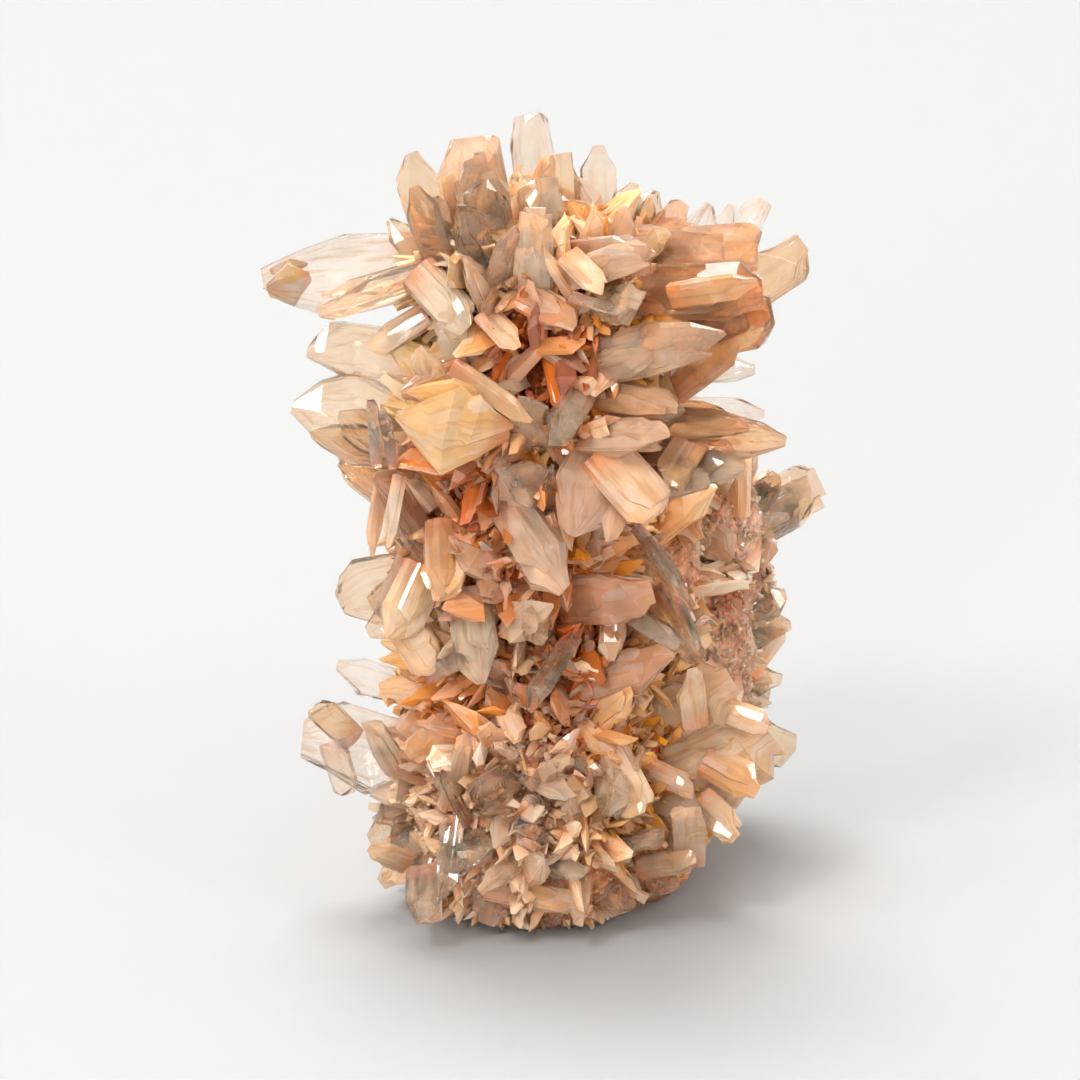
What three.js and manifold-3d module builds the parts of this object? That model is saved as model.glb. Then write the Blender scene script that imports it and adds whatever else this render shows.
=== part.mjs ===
// A hand specimen of orange creedite: one upright cluster of crystals that grew together.
// Flat-faced blades and prisms stand out of a rough crystalline mass on every side.
// Units are millimetres, +Z is up, and the origin is under the middle of the cluster.
import * as THREE from "three";
import { mergeVertices } from "three/addons/utils/BufferGeometryUtils.js";
import Module from "manifold-3d";

// Driving dimensions. The front is -Y, and the front view looks down by this angle.
const LOOK_DOWN = THREE.MathUtils.degToRad(20);
const SMALL_LENGTH = [2.4, 5];
const SMALL_FLATNESS = 0.62;
const SMALL_LEAN = 0.9;
const ROOT_DEPTH = 2.6;
const LUMP_UNEVENNESS = [0.93, 1.05];
const BURIED_SHARE = 0.9;
const OUTLINE_MARGIN = 0.4;
const LOWEST_TIP = 0.6;
const FOOT_CUT_DEPTH = 30;
const FOOT_CUT_WIDTH = 120;
const MERGE_DISTANCE = 1e-4;
const CREEDITE_ORANGE = 0xd9a27c;

// The random sequence: each number is the last one times a factor plus a step, within a range.
const SEED = 4127;
const RANDOM_FACTOR = 1664525;
const RANDOM_STEP = 1013904223;
const RANDOM_RANGE = 4294967296;

const wasm = await Module();
wasm.setup();

// A repeatable random number from 0 to 1.
let state = SEED;
function random() {
  state = (state * RANDOM_FACTOR + RANDOM_STEP) % RANDOM_RANGE;
  return state / RANDOM_RANGE;
}

function between([low, high]) {
  return low + (high - low) * random();
}

// A point given as it is seen from the front: right of the middle, above the foot, and how near.
function seen([right, above, near]) {
  const height = (above + near * Math.sin(LOOK_DOWN)) / Math.cos(LOOK_DOWN);
  return new THREE.Vector3(right, -near, height);
}

// How high a point stands in the front view.
function heightInView(point) {
  return point.z * Math.cos(LOOK_DOWN) + point.y * Math.sin(LOOK_DOWN);
}

// A closed three.js geometry as a solid, with its shared corners merged.
function solid(geometry) {
  const bare = new THREE.BufferGeometry();
  bare.setAttribute("position", geometry.getAttribute("position"));
  bare.setIndex(geometry.getIndex());
  const merged = mergeVertices(bare, MERGE_DISTANCE);
  const mesh = new wasm.Mesh({
    numProp: 3,
    vertProperties: merged.attributes.position.array,
    triVerts: new Uint32Array(merged.index.array),
  });
  return new wasm.Manifold(mesh);
}

// The forms of crystal. The section's corners are shares of half the width and half the thickness.
// Each station is a place along the crystal, and how much of the full section it has there.
const SIX_SIDED = [
  [1, 0],
  [0.55, 1],
  [-0.55, 1],
  [-1, 0],
  [-0.55, -1],
  [0.55, -1],
];
const BLADE = {
  section: SIX_SIDED,
  stations: [
    [0, 0.84],
    [0.78, 1],
  ],
};
const LENS = {
  section: SIX_SIDED,
  stations: [
    [0, 0.74],
    [0.56, 1],
    [0.82, 0.84],
  ],
};
const PRISM = {
  section: [
    [1, 0],
    [0, 1],
    [-1, 0],
    [0, -1],
  ],
  stations: [
    [0, 0.9],
    [0.78, 1],
  ],
};

// The width of a chisel edge as a share of the crystal's width, unless a crystal has its own.
const CHISEL_EDGE = 0.3;
// The sine of the angle to the line of sight under which a crystal counts as pointing at the viewer.
const NEARLY_TOWARDS_VIEWER = 0.2;

// One crystal: a blade or a four-sided prism from root to tip that ends in a chisel edge.
// With turn 0 its broad face looks at the viewer; turn rolls it about its own length, in degrees.
function crystal({ tip, root, wide, thick, turn = 0, edge = CHISEL_EDGE, form = BLADE }) {
  const along = tip.clone().sub(root);
  const axis = along.clone().normalize();
  const facing = new THREE.Vector3(0, -Math.cos(LOOK_DOWN), Math.sin(LOOK_DOWN));
  const side = axis.clone().cross(facing);
  if (side.length() < NEARLY_TOWARDS_VIEWER) side.copy(axis).cross(new THREE.Vector3(1, 0, 0));
  side.normalize().applyAxisAngle(axis, THREE.MathUtils.degToRad(turn));
  const flat = side.clone().cross(axis);
  const corners = [];
  const place = (share, u, v) => {
    const corner = root.clone().addScaledVector(along, share);
    corner.addScaledVector(side, (u * wide) / 2).addScaledVector(flat, (v * thick) / 2);
    corners.push(corner);
  };
  const { section, stations } = form;
  const sides = section.length;
  for (const [share, scale] of stations) {
    for (const [u, v] of section) place(share, u * scale, v * scale);
  }
  place(1, edge, 0);
  place(1, -edge, 0);
  const faces = [];
  const last = stations.length - 1;
  for (let ring = 0; ring < last; ring++) {
    for (let k = 0; k < sides; k++) {
      const a = ring * sides + k;
      const b = ring * sides + ((k + 1) % sides);
      faces.push([a, b, b + sides], [a, b + sides, a + sides]);
    }
  }
  for (let k = 1; k < sides - 1; k++) faces.push([0, k + 1, k]);
  // Each side of the last section closes on the nearer end of the chisel edge.
  const top = last * sides;
  const right = top + sides;
  const left = right + 1;
  const half = sides / 2;
  const nearer = (k) => (Math.abs(k - half) < sides / 4 ? left : right);
  for (let k = 0; k < sides; k++) {
    const after = (k + 1) % sides;
    const end = nearer(k);
    faces.push([top + k, top + after, end]);
    if (nearer(after) !== end) faces.push([top + after, nearer(after), end]);
  }
  const geometry = new THREE.BufferGeometry().setFromPoints(corners);
  geometry.setIndex(faces.flat());
  const made = solid(geometry);
  if (made.volume() > 0) return made;
  geometry.setIndex(faces.map(([a, b, c]) => [a, c, b]).flat());
  return solid(geometry);
}

// One rounded lump of the crystalline mass, an uneven ball with flat facets.
function lump({ centre, size }) {
  const ball = new THREE.IcosahedronGeometry(1, 1);
  const bare = new THREE.BufferGeometry();
  bare.setAttribute("position", ball.getAttribute("position"));
  const merged = mergeVertices(bare, MERGE_DISTANCE);
  const places = merged.getAttribute("position");
  const corner = new THREE.Vector3();
  for (let i = 0; i < places.count; i++) {
    corner.fromBufferAttribute(places, i);
    corner.multiplyScalar(between(LUMP_UNEVENNESS));
    corner.multiply(size).add(centre);
    places.setXYZ(i, corner.x, corner.y, corner.z);
  }
  return solid(merged);
}

// The rough mass: head, neck, waist and base of the column, and the lobe behind it on the right.
// Each line gives the lump's middle as seen, half its width, depth and height, and then
// how many small crystals are set around it and how wide they are.
const LUMPS = [
  { at: [1, 47.5, 0], half: [9, 7, 6], count: 12, wide: [2.6, 4] },
  { at: [-2.5, 51, 0], half: [6.4, 5.4, 4], count: 12, wide: [2.6, 4] },
  { at: [7, 48.5, 0], half: [5.4, 5, 4.4], count: 8, wide: [2.6, 4] },
  { at: [-1, 39, 1], half: [8.6, 6.2, 7.4], count: 13, wide: [3, 4.8] },
  { at: [-2.5, 29, 1], half: [8, 6, 7.6], count: 13, wide: [3, 4.8] },
  { at: [-1, 19, 0.5], half: [9, 6.8, 7.4], count: 14, wide: [3.2, 5.2] },
  { at: [-1, 8.6, 2], half: [9.8, 8.8, 12], count: 28, wide: [4, 6.6] },
  { at: [6, 8.4, -1], half: [7.6, 8, 9.6], count: 16, wide: [3.6, 6] },
  { at: [14.6, 28, -15], half: [3.6, 4.4, 6.4], count: 10, wide: [2.6, 4] },
  { at: [13, 19, -13], half: [4, 4.8, 7.4], count: 10, wide: [2.6, 4.2] },
  { at: [7, 9, -8], half: [6, 6, 9], count: 13, wide: [3.4, 5.6] },
  { at: [8, 25, -8], half: [4.6, 4.6, 7.6], count: 10, wide: [3, 4.8] },
];

// The cluster's edge in the front view: height above the foot, then how far left and right it goes.
const EDGE = [
  [-2.6, -4.6, 3.5],
  [-1.7, -9.5, 5.5],
  [-0.4, -11, 7.2],
  [1.6, -12.6, 11.4],
  [3.2, -14, 12.6],
  [5, -15, 13.6],
  [7, -15.8, 15],
  [8.6, -17.2, 16.4],
  [10.2, -19, 17.6],
  [12.2, -19.6, 19],
  [14, -18.8, 18.6],
  [16.4, -16.6, 18.8],
  [20, -15.6, 18.4],
  [22, -16.4, 19.8],
  [24.4, -16.4, 19.6],
  [27, -15.4, 18.4],
  [29.4, -14.3, 19.6],
  [32, -15.2, 21.8],
  [34, -17, 21.8],
  [36, -18, 18.8],
  [38, -19, 18.6],
  [40.4, -20, 16.4],
  [42, -16.8, 16],
  [44, -18.8, 15.8],
  [46, -18.4, 17.4],
  [48, -21.4, 18.6],
  [50, -21.6, 19.8],
  [51.6, -18.6, 20.6],
  [53.2, -15.6, 18.6],
  [55, -12, 15],
  [56.6, -12, 9],
  [58.4, -11.4, 5],
  [60.2, -8.4, 3.6],
  [62.6, -3, -0.6],
];

function insideEdge(point) {
  const above = heightInView(point);
  if (above < EDGE[0][0] || above > EDGE[EDGE.length - 1][0]) return false;
  const next = EDGE.findIndex(([level]) => level >= above);
  const [low, lowLeft, lowRight] = EDGE[Math.max(next - 1, 0)];
  const [high, highLeft, highRight] = EDGE[next];
  const share = high > low ? (above - low) / (high - low) : 0;
  const left = lowLeft + (highLeft - lowLeft) * share;
  const right = lowRight + (highRight - lowRight) * share;
  return point.x > left + OUTLINE_MARGIN && point.x < right - OUTLINE_MARGIN;
}

// The large crystals, each with its tip and root as seen, its width, thickness and turn.
const CROWN = [
  // Clear crystals along the top edge, and the darker ones in front of them.
  { tip: [-1.7, 62.4, -4], root: [-0.3, 54.2, -4], wide: 3.8, thick: 2.4, edge: 0.6 },
  { tip: [4, 60.1, -5], root: [4.2, 53.6, -5], wide: 3.3, thick: 2.2, edge: 0.3 },
  { tip: [0.8, 59.3, -2], root: [1.4, 53, -2], wide: 3.2, thick: 2.4, edge: 0.6 },
  { tip: [-6.6, 60.4, -1], root: [-4.8, 51, 0], wide: 5.6, thick: 3.2, edge: 0.5 },
  { tip: [-10.9, 58.9, 4], root: [-7.9, 50, 3], wide: 3.6, thick: 2.6, edge: 0.3 },
  { tip: [-5.5, 59, 3], root: [-3.8, 51, 2], wide: 4.2, thick: 2.6, edge: 0.5 },
  { tip: [-4.7, 57, 6], root: [-4.2, 50, 4], wide: 3.4, thick: 2.4 },
  { tip: [-6.4, 55, 8], root: [-5, 49, 5], wide: 3, thick: 2 },
  { tip: [-2.6, 53.4, 9], root: [-4.2, 48.4, 6], wide: 2.2, thick: 1.8, edge: 0.1 },
  { tip: [-0.3, 57.2, 3], root: [-0.2, 50.6, 2], wide: 3.2, thick: 2.2, edge: 0.6 },
  { tip: [-1, 54.6, 9], root: [-1.1, 47.4, 6], wide: 3, thick: 2.2, edge: 0.6, turn: 20 },
  { tip: [6.7, 57.2, -4], root: [5.6, 53.4, -3], wide: 2, thick: 1.6, form: PRISM },
  { tip: [8.7, 56.5, -4], root: [7.4, 52.4, -3], wide: 2.4, thick: 1.8, form: PRISM },
  { tip: [11.2, 55.2, -2], root: [7.8, 51.4, -1], wide: 3, thick: 2, form: PRISM },
];
const LEFT_SHOULDER = [
  // The long clear blade, the thin slab under it and the smaller crystals down the left side.
  { tip: [-22.4, 48.7, 2], root: [-8.6, 50.8, 1], wide: 6.6, thick: 3.2, edge: 0.25, turn: 8, form: LENS },
  { tip: [-18.1, 46.9, 6], root: [-8, 50, 4], wide: 2.6, thick: 2.2, turn: 55, edge: 0.4 },
  { tip: [-12.4, 54.1, 1], root: [-9.6, 50.4, 1], wide: 2, thick: 1.6, form: PRISM },
  { tip: [-19, 44.4, -1], root: [-9.6, 43.4, 0], wide: 4.4, thick: 2.6, edge: 0.2 },
  { tip: [-19.9, 40.3, 1], root: [-9.6, 36.6, 1], wide: 7.2, thick: 3.4, edge: 0.15, turn: 10, form: LENS },
  { tip: [-16.8, 36.4, -2], root: [-10.4, 31.4, 0], wide: 4, thick: 2.6 },
  { tip: [-13.4, 34.2, 5], root: [-8.6, 26.8, 3], wide: 3.6, thick: 2.4, turn: 30 },
  { tip: [-16.4, 23.4, -1], root: [-10, 25.6, 0], wide: 7, thick: 3, edge: 0.3, form: LENS },
];
const RIGHT_FAN = [
  // The orange blades that spread to the right, and the clear ones behind them.
  { tip: [16.6, 51.4, 7], root: [3.4, 50.4, 2], wide: 5, thick: 3, edge: 0.6, turn: -20, form: LENS },
  { tip: [16.9, 48.8, 10], root: [4, 48, 5], wide: 4, thick: 2.6, edge: 0.5 },
  { tip: [17.8, 46.6, 6], root: [6, 45.8, 2], wide: 5, thick: 3, edge: 0.5, turn: 15 },
  { tip: [7.4, 47.2, 13], root: [4, 47.6, 4], wide: 3.6, thick: 3, edge: 0.5 },
  { tip: [13.6, 44.9, 14], root: [2, 42.4, 5], wide: 4, thick: 2.6, edge: 0.1, turn: 10, form: LENS },
  { tip: [8.2, 51.2, 10], root: [2.6, 50.8, 5], wide: 3.4, thick: 2.2, edge: 0.1 },
  { tip: [13.2, 55.4, -5], root: [9, 48.6, -3], wide: 2.6, thick: 2 },
  { tip: [14.9, 55.4, -7], root: [11, 48.6, -4], wide: 2.2, thick: 1.8 },
  { tip: [17.6, 55.8, -8], root: [12, 47.4, -4], wide: 3.2, thick: 2.2, edge: 0.4 },
  { tip: [20.7, 52.2, -6], root: [12, 45.8, -3], wide: 4.2, thick: 2.4, edge: 0.4 },
  { tip: [16.6, 42.5, -2], root: [8, 42.6, -1], wide: 2.8, thick: 2 },
  { tip: [17.5, 38.9, -7], root: [9, 39.4, -4], wide: 2.4, thick: 1.8 },
];
const FRONT = [
  // The yellow lozenge that faces the viewer, and the blades around and below it.
  { tip: [-11.6, 38.2, 12], root: [-2.4, 36.6, 6], wide: 6.8, thick: 3.6, edge: 0.1 },
  { tip: [-2, 40, 12], root: [-1, 35.6, 6], wide: 3.4, thick: 2.4 },
  { tip: [0, 36.2, 13], root: [2.6, 40.2, 7], wide: 2.6, thick: 2, edge: 0.1 },
  { tip: [-3.8, 33.6, 12], root: [1, 33, 6], wide: 3.4, thick: 2.2, edge: 0.1 },
  { tip: [18.9, 36.6, 5], root: [6, 37.8, 2], wide: 4.8, thick: 3, edge: 0.2, turn: -15, form: LENS },
  { tip: [15.4, 34.6, 8], root: [6, 35, 4], wide: 3.6, thick: 2.4, edge: 0.3 },
  { tip: [10.2, 39.2, 10], root: [3, 40.4, 5], wide: 2.8, thick: 2 },
  { tip: [9.6, 36.8, 12], root: [1.6, 36.8, 6], wide: 3, thick: 2.2, edge: 0.1 },
  { tip: [2.6, 28.8, 12], root: [4.4, 36, 6], wide: 6, thick: 3.2, edge: 0.1, form: LENS },
  { tip: [1.4, 24.8, 12], root: [-3.2, 31.8, 6], wide: 4.6, thick: 2.6, edge: 0.3 },
  { tip: [8.2, 24.6, 10], root: [1, 24, 5], wide: 4, thick: 3, edge: 0.5 },
  { tip: [-8.3, 24.2, 10], root: [-8.4, 30, 5], wide: 3.2, thick: 2.4, edge: 0.1 },
  { tip: [-12.2, 21.1, 8], root: [-9.8, 27.6, 4], wide: 4.2, thick: 2.6, edge: 0.1 },
  { tip: [11.6, 23.4, 4], root: [6.4, 29.4, 2], wide: 2.2, thick: 1.8 },
  { tip: [12.4, 19, 3], root: [8.4, 25, 2], wide: 2.4, thick: 1.8 },
  { tip: [10.8, 20.4, 8], root: [5.4, 24, 4], wide: 1.8, thick: 1.6 },
];
const BASE = [
  // The blades of the base: front laths, the clear one on the left and the slab on the right.
  { tip: [-1.6, 15.4, 14], root: [2, 21, 7], wide: 1.8, thick: 1.6, form: PRISM },
  { tip: [-1, 22.4, 12], root: [-0.6, 22, 5], wide: 3.4, thick: 3 },
  { tip: [10.2, 19.2, 10], root: [3, 17.4, 6], wide: 3.4, thick: 2.4, edge: 0.1 },
  { tip: [-17, 18.4, -1], root: [-10, 16.6, 0], wide: 3, thick: 2 },
  { tip: [-19.8, 12.3, 1], root: [-10, 11.4, 1], wide: 7.2, thick: 3.6, edge: 0.45, turn: 12, form: LENS },
  { tip: [-4.6, 10.4, 15], root: [-3.4, 7, 7], wide: 4.2, thick: 3.2, edge: 0.5 },
  { tip: [-7, 1.8, 12.4], root: [-5, 8, 7], wide: 5.2, thick: 2.8, edge: 0.1 },
  { tip: [17.6, 13.6, 3], root: [8, 8.4, 1], wide: 8.2, thick: 4.4, edge: 0.7, turn: 20 },
  { tip: [14.8, 17.4, 5], root: [8.6, 14, 2], wide: 5, thick: 3, edge: 0.5 },
  { tip: [20.6, 12.4, -13], root: [12, 12.8, -9], wide: 4.4, thick: 2.6, edge: 0.3 },
  { tip: [6.4, 8.4, 14], root: [3.6, 9, 7], wide: 4, thick: 2.6 },
  { tip: [12.6, 6, 7], root: [7, 8.6, 4], wide: 4, thick: 2.8 },
  { tip: [-14.4, 4.6, 2], root: [-9, 7, 1], wide: 4.2, thick: 2.6 },
  { tip: [-9.7, -0.8, 7], root: [-7, 5, 5], wide: 4, thick: 2.6 },
  { tip: [-5.2, -1.8, 9.4], root: [-3.6, 4, 5], wide: 4.4, thick: 2.8 },
  { tip: [0.6, -2, 9.4], root: [0.4, 4, 5], wide: 4.2, thick: 2.8, turn: 25 },
  { tip: [5.6, -1.4, 9], root: [3.4, 4, 4], wide: 4.2, thick: 2.6 },
  { tip: [10.6, 0.8, 6], root: [6, 5, 3], wide: 4.2, thick: 2.8, turn: -20 },
  { tip: [-13.6, 1.4, 5], root: [-8, 5.6, 3], wide: 4, thick: 2.6, turn: 20 },
];
const BACK_LOBE = [
  // The lobe behind on the right, whose pale crystals show past the column.
  { tip: [22.4, 33.6, -19], root: [15, 29.4, -15], wide: 4.2, thick: 2.6, edge: 0.6 },
  { tip: [18.6, 34.4, -16], root: [14, 28, -15], wide: 3.4, thick: 2.2 },
  { tip: [19.7, 31, -14], root: [13.6, 28, -14], wide: 3, thick: 2.2 },
  { tip: [19.6, 24.4, -15], root: [13, 23, -14], wide: 3, thick: 2 },
  { tip: [20, 21.8, -15], root: [13, 20, -13], wide: 2.8, thick: 2 },
  { tip: [19.2, 17, -15], root: [12, 17.4, -12], wide: 3, thick: 2 },
  { tip: [15, 32.6, -24], root: [14, 28, -17], wide: 3.4, thick: 2.2 },
  { tip: [10, 28, -22], root: [13, 25, -15], wide: 3.6, thick: 2.4 },
  { tip: [14, 20, -24], root: [13, 19.4, -15], wide: 3.6, thick: 2.4 },
];
const LARGE = [...CROWN, ...LEFT_SHOULDER, ...RIGHT_FAN, ...FRONT, ...BASE, ...BACK_LOBE];

// Small crystals that cover a lump: they stand about square to its surface and lean at random.
const GOLDEN_TURN = Math.PI * (3 - Math.sqrt(5));

function insideLump(point, { centre, size }) {
  return point.clone().sub(centre).divide(size).length() < BURIED_SHARE;
}

function cover(lumps) {
  const made = [];
  lumps.forEach((one, index) => {
    const { count } = one;
    for (let k = 0; k < count; k++) {
      const level = 1 - (2 * (k + 0.5)) / count;
      const round = Math.sqrt(1 - level * level);
      const angle = k * GOLDEN_TURN + index;
      const ball = new THREE.Vector3(round * Math.cos(angle), round * Math.sin(angle), level);
      const foot = ball.clone().multiply(one.size).add(one.centre);
      const lean = new THREE.Vector3(random() - 0.5, random() - 0.5, random() - 0.5);
      const out = ball.clone().divide(one.size).normalize().addScaledVector(lean, SMALL_LEAN).normalize();
      const tip = foot.clone().addScaledVector(out, between(SMALL_LENGTH));
      const root = foot.clone().addScaledVector(out, -ROOT_DEPTH);
      const wide = between(one.wide);
      const turn = 180 * random();
      const buried = lumps.some((other) => other !== one && insideLump(foot, other));
      if (buried || tip.z < LOWEST_TIP || !insideEdge(tip)) continue;
      made.push(crystal({ tip, root, wide, thick: wide * SMALL_FLATNESS, turn, form: PRISM }));
    }
  });
  return made;
}

// All the crystals and the mass are one growth, so they are joined in one solid.
function cluster() {
  const lumps = LUMPS.map(({ at, half, ...small }) => ({
    centre: seen(at),
    size: new THREE.Vector3(...half),
    ...small,
  }));
  const pieces = lumps.map(lump);
  for (const one of LARGE) pieces.push(crystal({ ...one, tip: seen(one.tip), root: seen(one.root) }));
  pieces.push(...cover(lumps));
  let joined = pieces[0];
  for (const piece of pieces.slice(1)) joined = joined.add(piece);
  const below = new THREE.BoxGeometry(FOOT_CUT_WIDTH, FOOT_CUT_WIDTH, FOOT_CUT_DEPTH);
  below.translate(0, 0, -FOOT_CUT_DEPTH / 2);
  joined = joined.subtract(solid(below));
  const parts = joined.decompose().sort((a, b) => b.volume() - a.volume());
  return parts[0];
}

function geometryOf(made) {
  const { vertProperties, numProp, triVerts } = made.getMesh();
  const geometry = new THREE.BufferGeometry();
  const places = new Float32Array((vertProperties.length / numProp) * 3);
  for (let i = 0; i < places.length / 3; i++) {
    places.set(vertProperties.subarray(i * numProp, i * numProp + 3), i * 3);
  }
  geometry.setAttribute("position", new THREE.BufferAttribute(places, 3));
  geometry.setIndex(new THREE.BufferAttribute(triVerts, 1));
  return geometry;
}

const creedite = new THREE.MeshStandardMaterial({
  color: CREEDITE_ORANGE,
  roughness: 0.25,
  metalness: 0,
  flatShading: true,
});

const geometry = geometryOf(cluster());
geometry.computeBoundingBox();
const { min, max } = geometry.boundingBox;
geometry.translate(-(min.x + max.x) / 2, -(min.y + max.y) / 2, -min.z);

const creediteCluster = new THREE.Mesh(geometry, creedite);
creediteCluster.name = "creedite_cluster";

const specimen = new THREE.Group();
specimen.add(creediteCluster);

export default specimen;
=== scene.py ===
import math

import bpy
import numpy as np
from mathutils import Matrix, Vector


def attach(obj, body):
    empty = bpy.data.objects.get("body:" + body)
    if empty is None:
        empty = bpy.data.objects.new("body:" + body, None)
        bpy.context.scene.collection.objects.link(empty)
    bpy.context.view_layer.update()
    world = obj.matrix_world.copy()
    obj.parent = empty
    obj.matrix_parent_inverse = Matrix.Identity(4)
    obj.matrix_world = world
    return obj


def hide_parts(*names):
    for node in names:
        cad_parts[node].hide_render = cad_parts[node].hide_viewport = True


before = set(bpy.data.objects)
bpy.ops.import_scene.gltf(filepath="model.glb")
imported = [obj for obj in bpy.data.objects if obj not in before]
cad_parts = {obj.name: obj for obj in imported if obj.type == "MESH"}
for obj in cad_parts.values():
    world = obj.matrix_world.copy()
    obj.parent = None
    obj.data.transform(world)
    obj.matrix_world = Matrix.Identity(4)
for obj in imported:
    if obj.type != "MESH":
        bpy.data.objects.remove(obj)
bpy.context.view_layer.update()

# The view. The specimen stands on a pale table top and is seen from the front, looking down on it
# by 20 degrees through a long lens. All sizes below are read in that view, in millimetres.
MM = 0.001
LOOK_DOWN = math.radians(20)
TO_VIEWER = np.array([0, -math.cos(LOOK_DOWN), math.sin(LOOK_DOWN)])
SENSOR_WIDTH = 36.0
FRAME_WIDTH = 86.4
CAMERA_DISTANCE = 700.0
FRAME_MIDDLE = (-0.56, 28.8, 0.0)
COLUMN_PLACE = np.array([-0.25, -4.52, 0.0])


def seen(points):
    """x = right, y = -near, z = (above + near * sin(look down)) / cos(look down), in metres.

    points holds (right of the middle, above the foot, near the viewer) in millimetres."""
    points = np.atleast_2d(np.asarray(points, float))
    height = (points[:, 1] + points[:, 2] * math.sin(LOOK_DOWN)) / math.cos(LOOK_DOWN)
    return (np.stack([points[:, 0], -points[:, 2], height], 1) + COLUMN_PLACE) * MM


def in_view(places):
    """The reverse of seen: right, above and near in millimetres for places in metres."""
    places = np.asarray(places) / MM - COLUMN_PLACE
    near = -places[:, 1]
    above = places[:, 2] * math.cos(LOOK_DOWN) - near * math.sin(LOOK_DOWN)
    return np.stack([places[:, 0], above, near], 1)


lens = bpy.data.cameras.new("view")
lens.sensor_width = SENSOR_WIDTH
lens.lens = CAMERA_DISTANCE * SENSOR_WIDTH / FRAME_WIDTH
lens.clip_start = 0.01
camera = bpy.data.objects.new("view", lens)
aim = Vector(seen(FRAME_MIDDLE)[0])
camera.location = aim + Vector(TO_VIEWER) * CAMERA_DISTANCE * MM
camera.rotation_euler = (math.pi / 2 - LOOK_DOWN, 0, 0)
bpy.context.scene.collection.objects.link(camera)
bpy.context.scene.camera = camera

# The table top and the light: a matt pale sheet, a bright soft tent all round that is a little
# darker towards the horizon, one broad lamp high behind and four small ones in front. The small
# ones are there for the glints that they give on faces that lie at many angles.
FLOOR_SIZE = 3.0
FLOOR_WHITE = (0.43, 0.428, 0.425, 1)
FLOOR_ROUGHNESS = 0.9
HORIZON_LIGHT = (0.66, 0.65, 0.64, 1)
SKY_LIGHT = (1.1, 1.1, 1.1, 1)
SKY_STARTS = 0.75
TENT_STRENGTH = 0.95
LAMPS = (
    # name, place and size in metres, power in watts
    ("lamp_behind", (-0.12, 0.46, 1.3), 0.6, 16.0),
    ("lamp_front", (-0.4, -0.6, 0.85), 0.2, 4.0),
    ("lamp_left", (-0.85, -0.45, 0.45), 0.15, 1.5),
    ("lamp_right", (0.75, -0.6, 0.6), 0.15, 1.3),
    ("lamp_low", (-0.3, -1.0, 0.4), 0.15, 1.5),
)
floor_corners = np.array([(-1, -1, 0), (1, -1, 0), (1, 1, 0), (-1, 1, 0)]) * FLOOR_SIZE / 2
floor_mesh = bpy.data.meshes.new("table_top")
floor_mesh.from_pydata(floor_corners.tolist(), [], [(0, 1, 2, 3)])
floor = bpy.data.objects.new("table_top", floor_mesh)
bpy.context.scene.collection.objects.link(floor)
matt = bpy.data.materials.new("matt_white")
matt.use_nodes = True
floor_shader = matt.node_tree.nodes["Principled BSDF"]
floor_shader.inputs["Base Color"].default_value = FLOOR_WHITE
floor_shader.inputs["Roughness"].default_value = FLOOR_ROUGHNESS
floor_mesh.materials.append(matt)

tent = bpy.data.worlds.new("tent")
tent.use_nodes = True
bpy.context.scene.world = tent
net = tent.node_tree
direction = net.nodes.new("ShaderNodeTexCoord")
split = net.nodes.new("ShaderNodeSeparateXYZ")
ramp = net.nodes.new("ShaderNodeValToRGB")
net.links.new(direction.outputs["Generated"], split.inputs[0])
net.links.new(split.outputs["Z"], ramp.inputs[0])
net.links.new(ramp.outputs["Color"], net.nodes["Background"].inputs["Color"])
ramp.color_ramp.elements[0].position = 0.0
ramp.color_ramp.elements[0].color = HORIZON_LIGHT
ramp.color_ramp.elements[1].position = SKY_STARTS
ramp.color_ramp.elements[1].color = SKY_LIGHT
net.nodes["Background"].inputs["Strength"].default_value = TENT_STRENGTH

for name, place, size, power in LAMPS:
    lamp = bpy.data.lights.new(name, "AREA")
    lamp.size = size
    lamp.energy = power
    holder = bpy.data.objects.new(name, lamp)
    holder.location = place
    holder.rotation_euler = (aim - Vector(place)).to_track_quat("-Z", "Y").to_euler()
    bpy.context.scene.collection.objects.link(holder)
bpy.context.scene.view_settings.view_transform = "Standard"
light_paths = bpy.context.scene.cycles
light_paths.max_bounces = 6
light_paths.transmission_bounces = 6
light_paths.glossy_bounces = 2
light_paths.diffuse_bounces = 2
light_paths.adaptive_threshold = 0.12
light_paths.adaptive_min_samples = 12

# The rough mass that every crystal grows from: fine-grained creedite stained by iron, in rounded
# lumps that ran together. It is opaque, pink where it is clean, and orange to red-brown in hollows,
# where the iron stain is deepened by painted shade.
LUMPS = np.array(
    [
        # right, above, near; half the width, the depth and the height
        (1, 47.5, 0, 9, 7, 6),
        (-2.5, 51, 0, 6.4, 5.4, 4),
        (7, 48.5, 0, 5.4, 5, 4.4),
        (-1, 39, 1, 8.6, 6.2, 7.4),
        (-2.5, 29, 1, 8, 6, 7.6),
        (-1, 19, 0.5, 9, 6.8, 7.4),
        (-1, 8.6, 2, 9.8, 8.8, 12),
        (6, 8.4, -1, 7.6, 8, 9.6),
        (14.6, 28, -15, 3.6, 4.4, 6.4),
        (13, 19, -13, 4, 4.8, 7.4),
        (7, 9, -8, 6, 6, 9),
        (8, 25, -8, 4.6, 4.6, 7.6),
    ]
)
LUMP_MIDDLE = seen(LUMPS[:, :3])
LUMP_SIZE = LUMPS[:, 3:] * MM


def light_share(red, green, blue):
    """Screen values 0 to 255 as shares of light, by the usual 2.2 power."""
    return (np.array([red, green, blue]) / 255) ** 2.2
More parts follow.
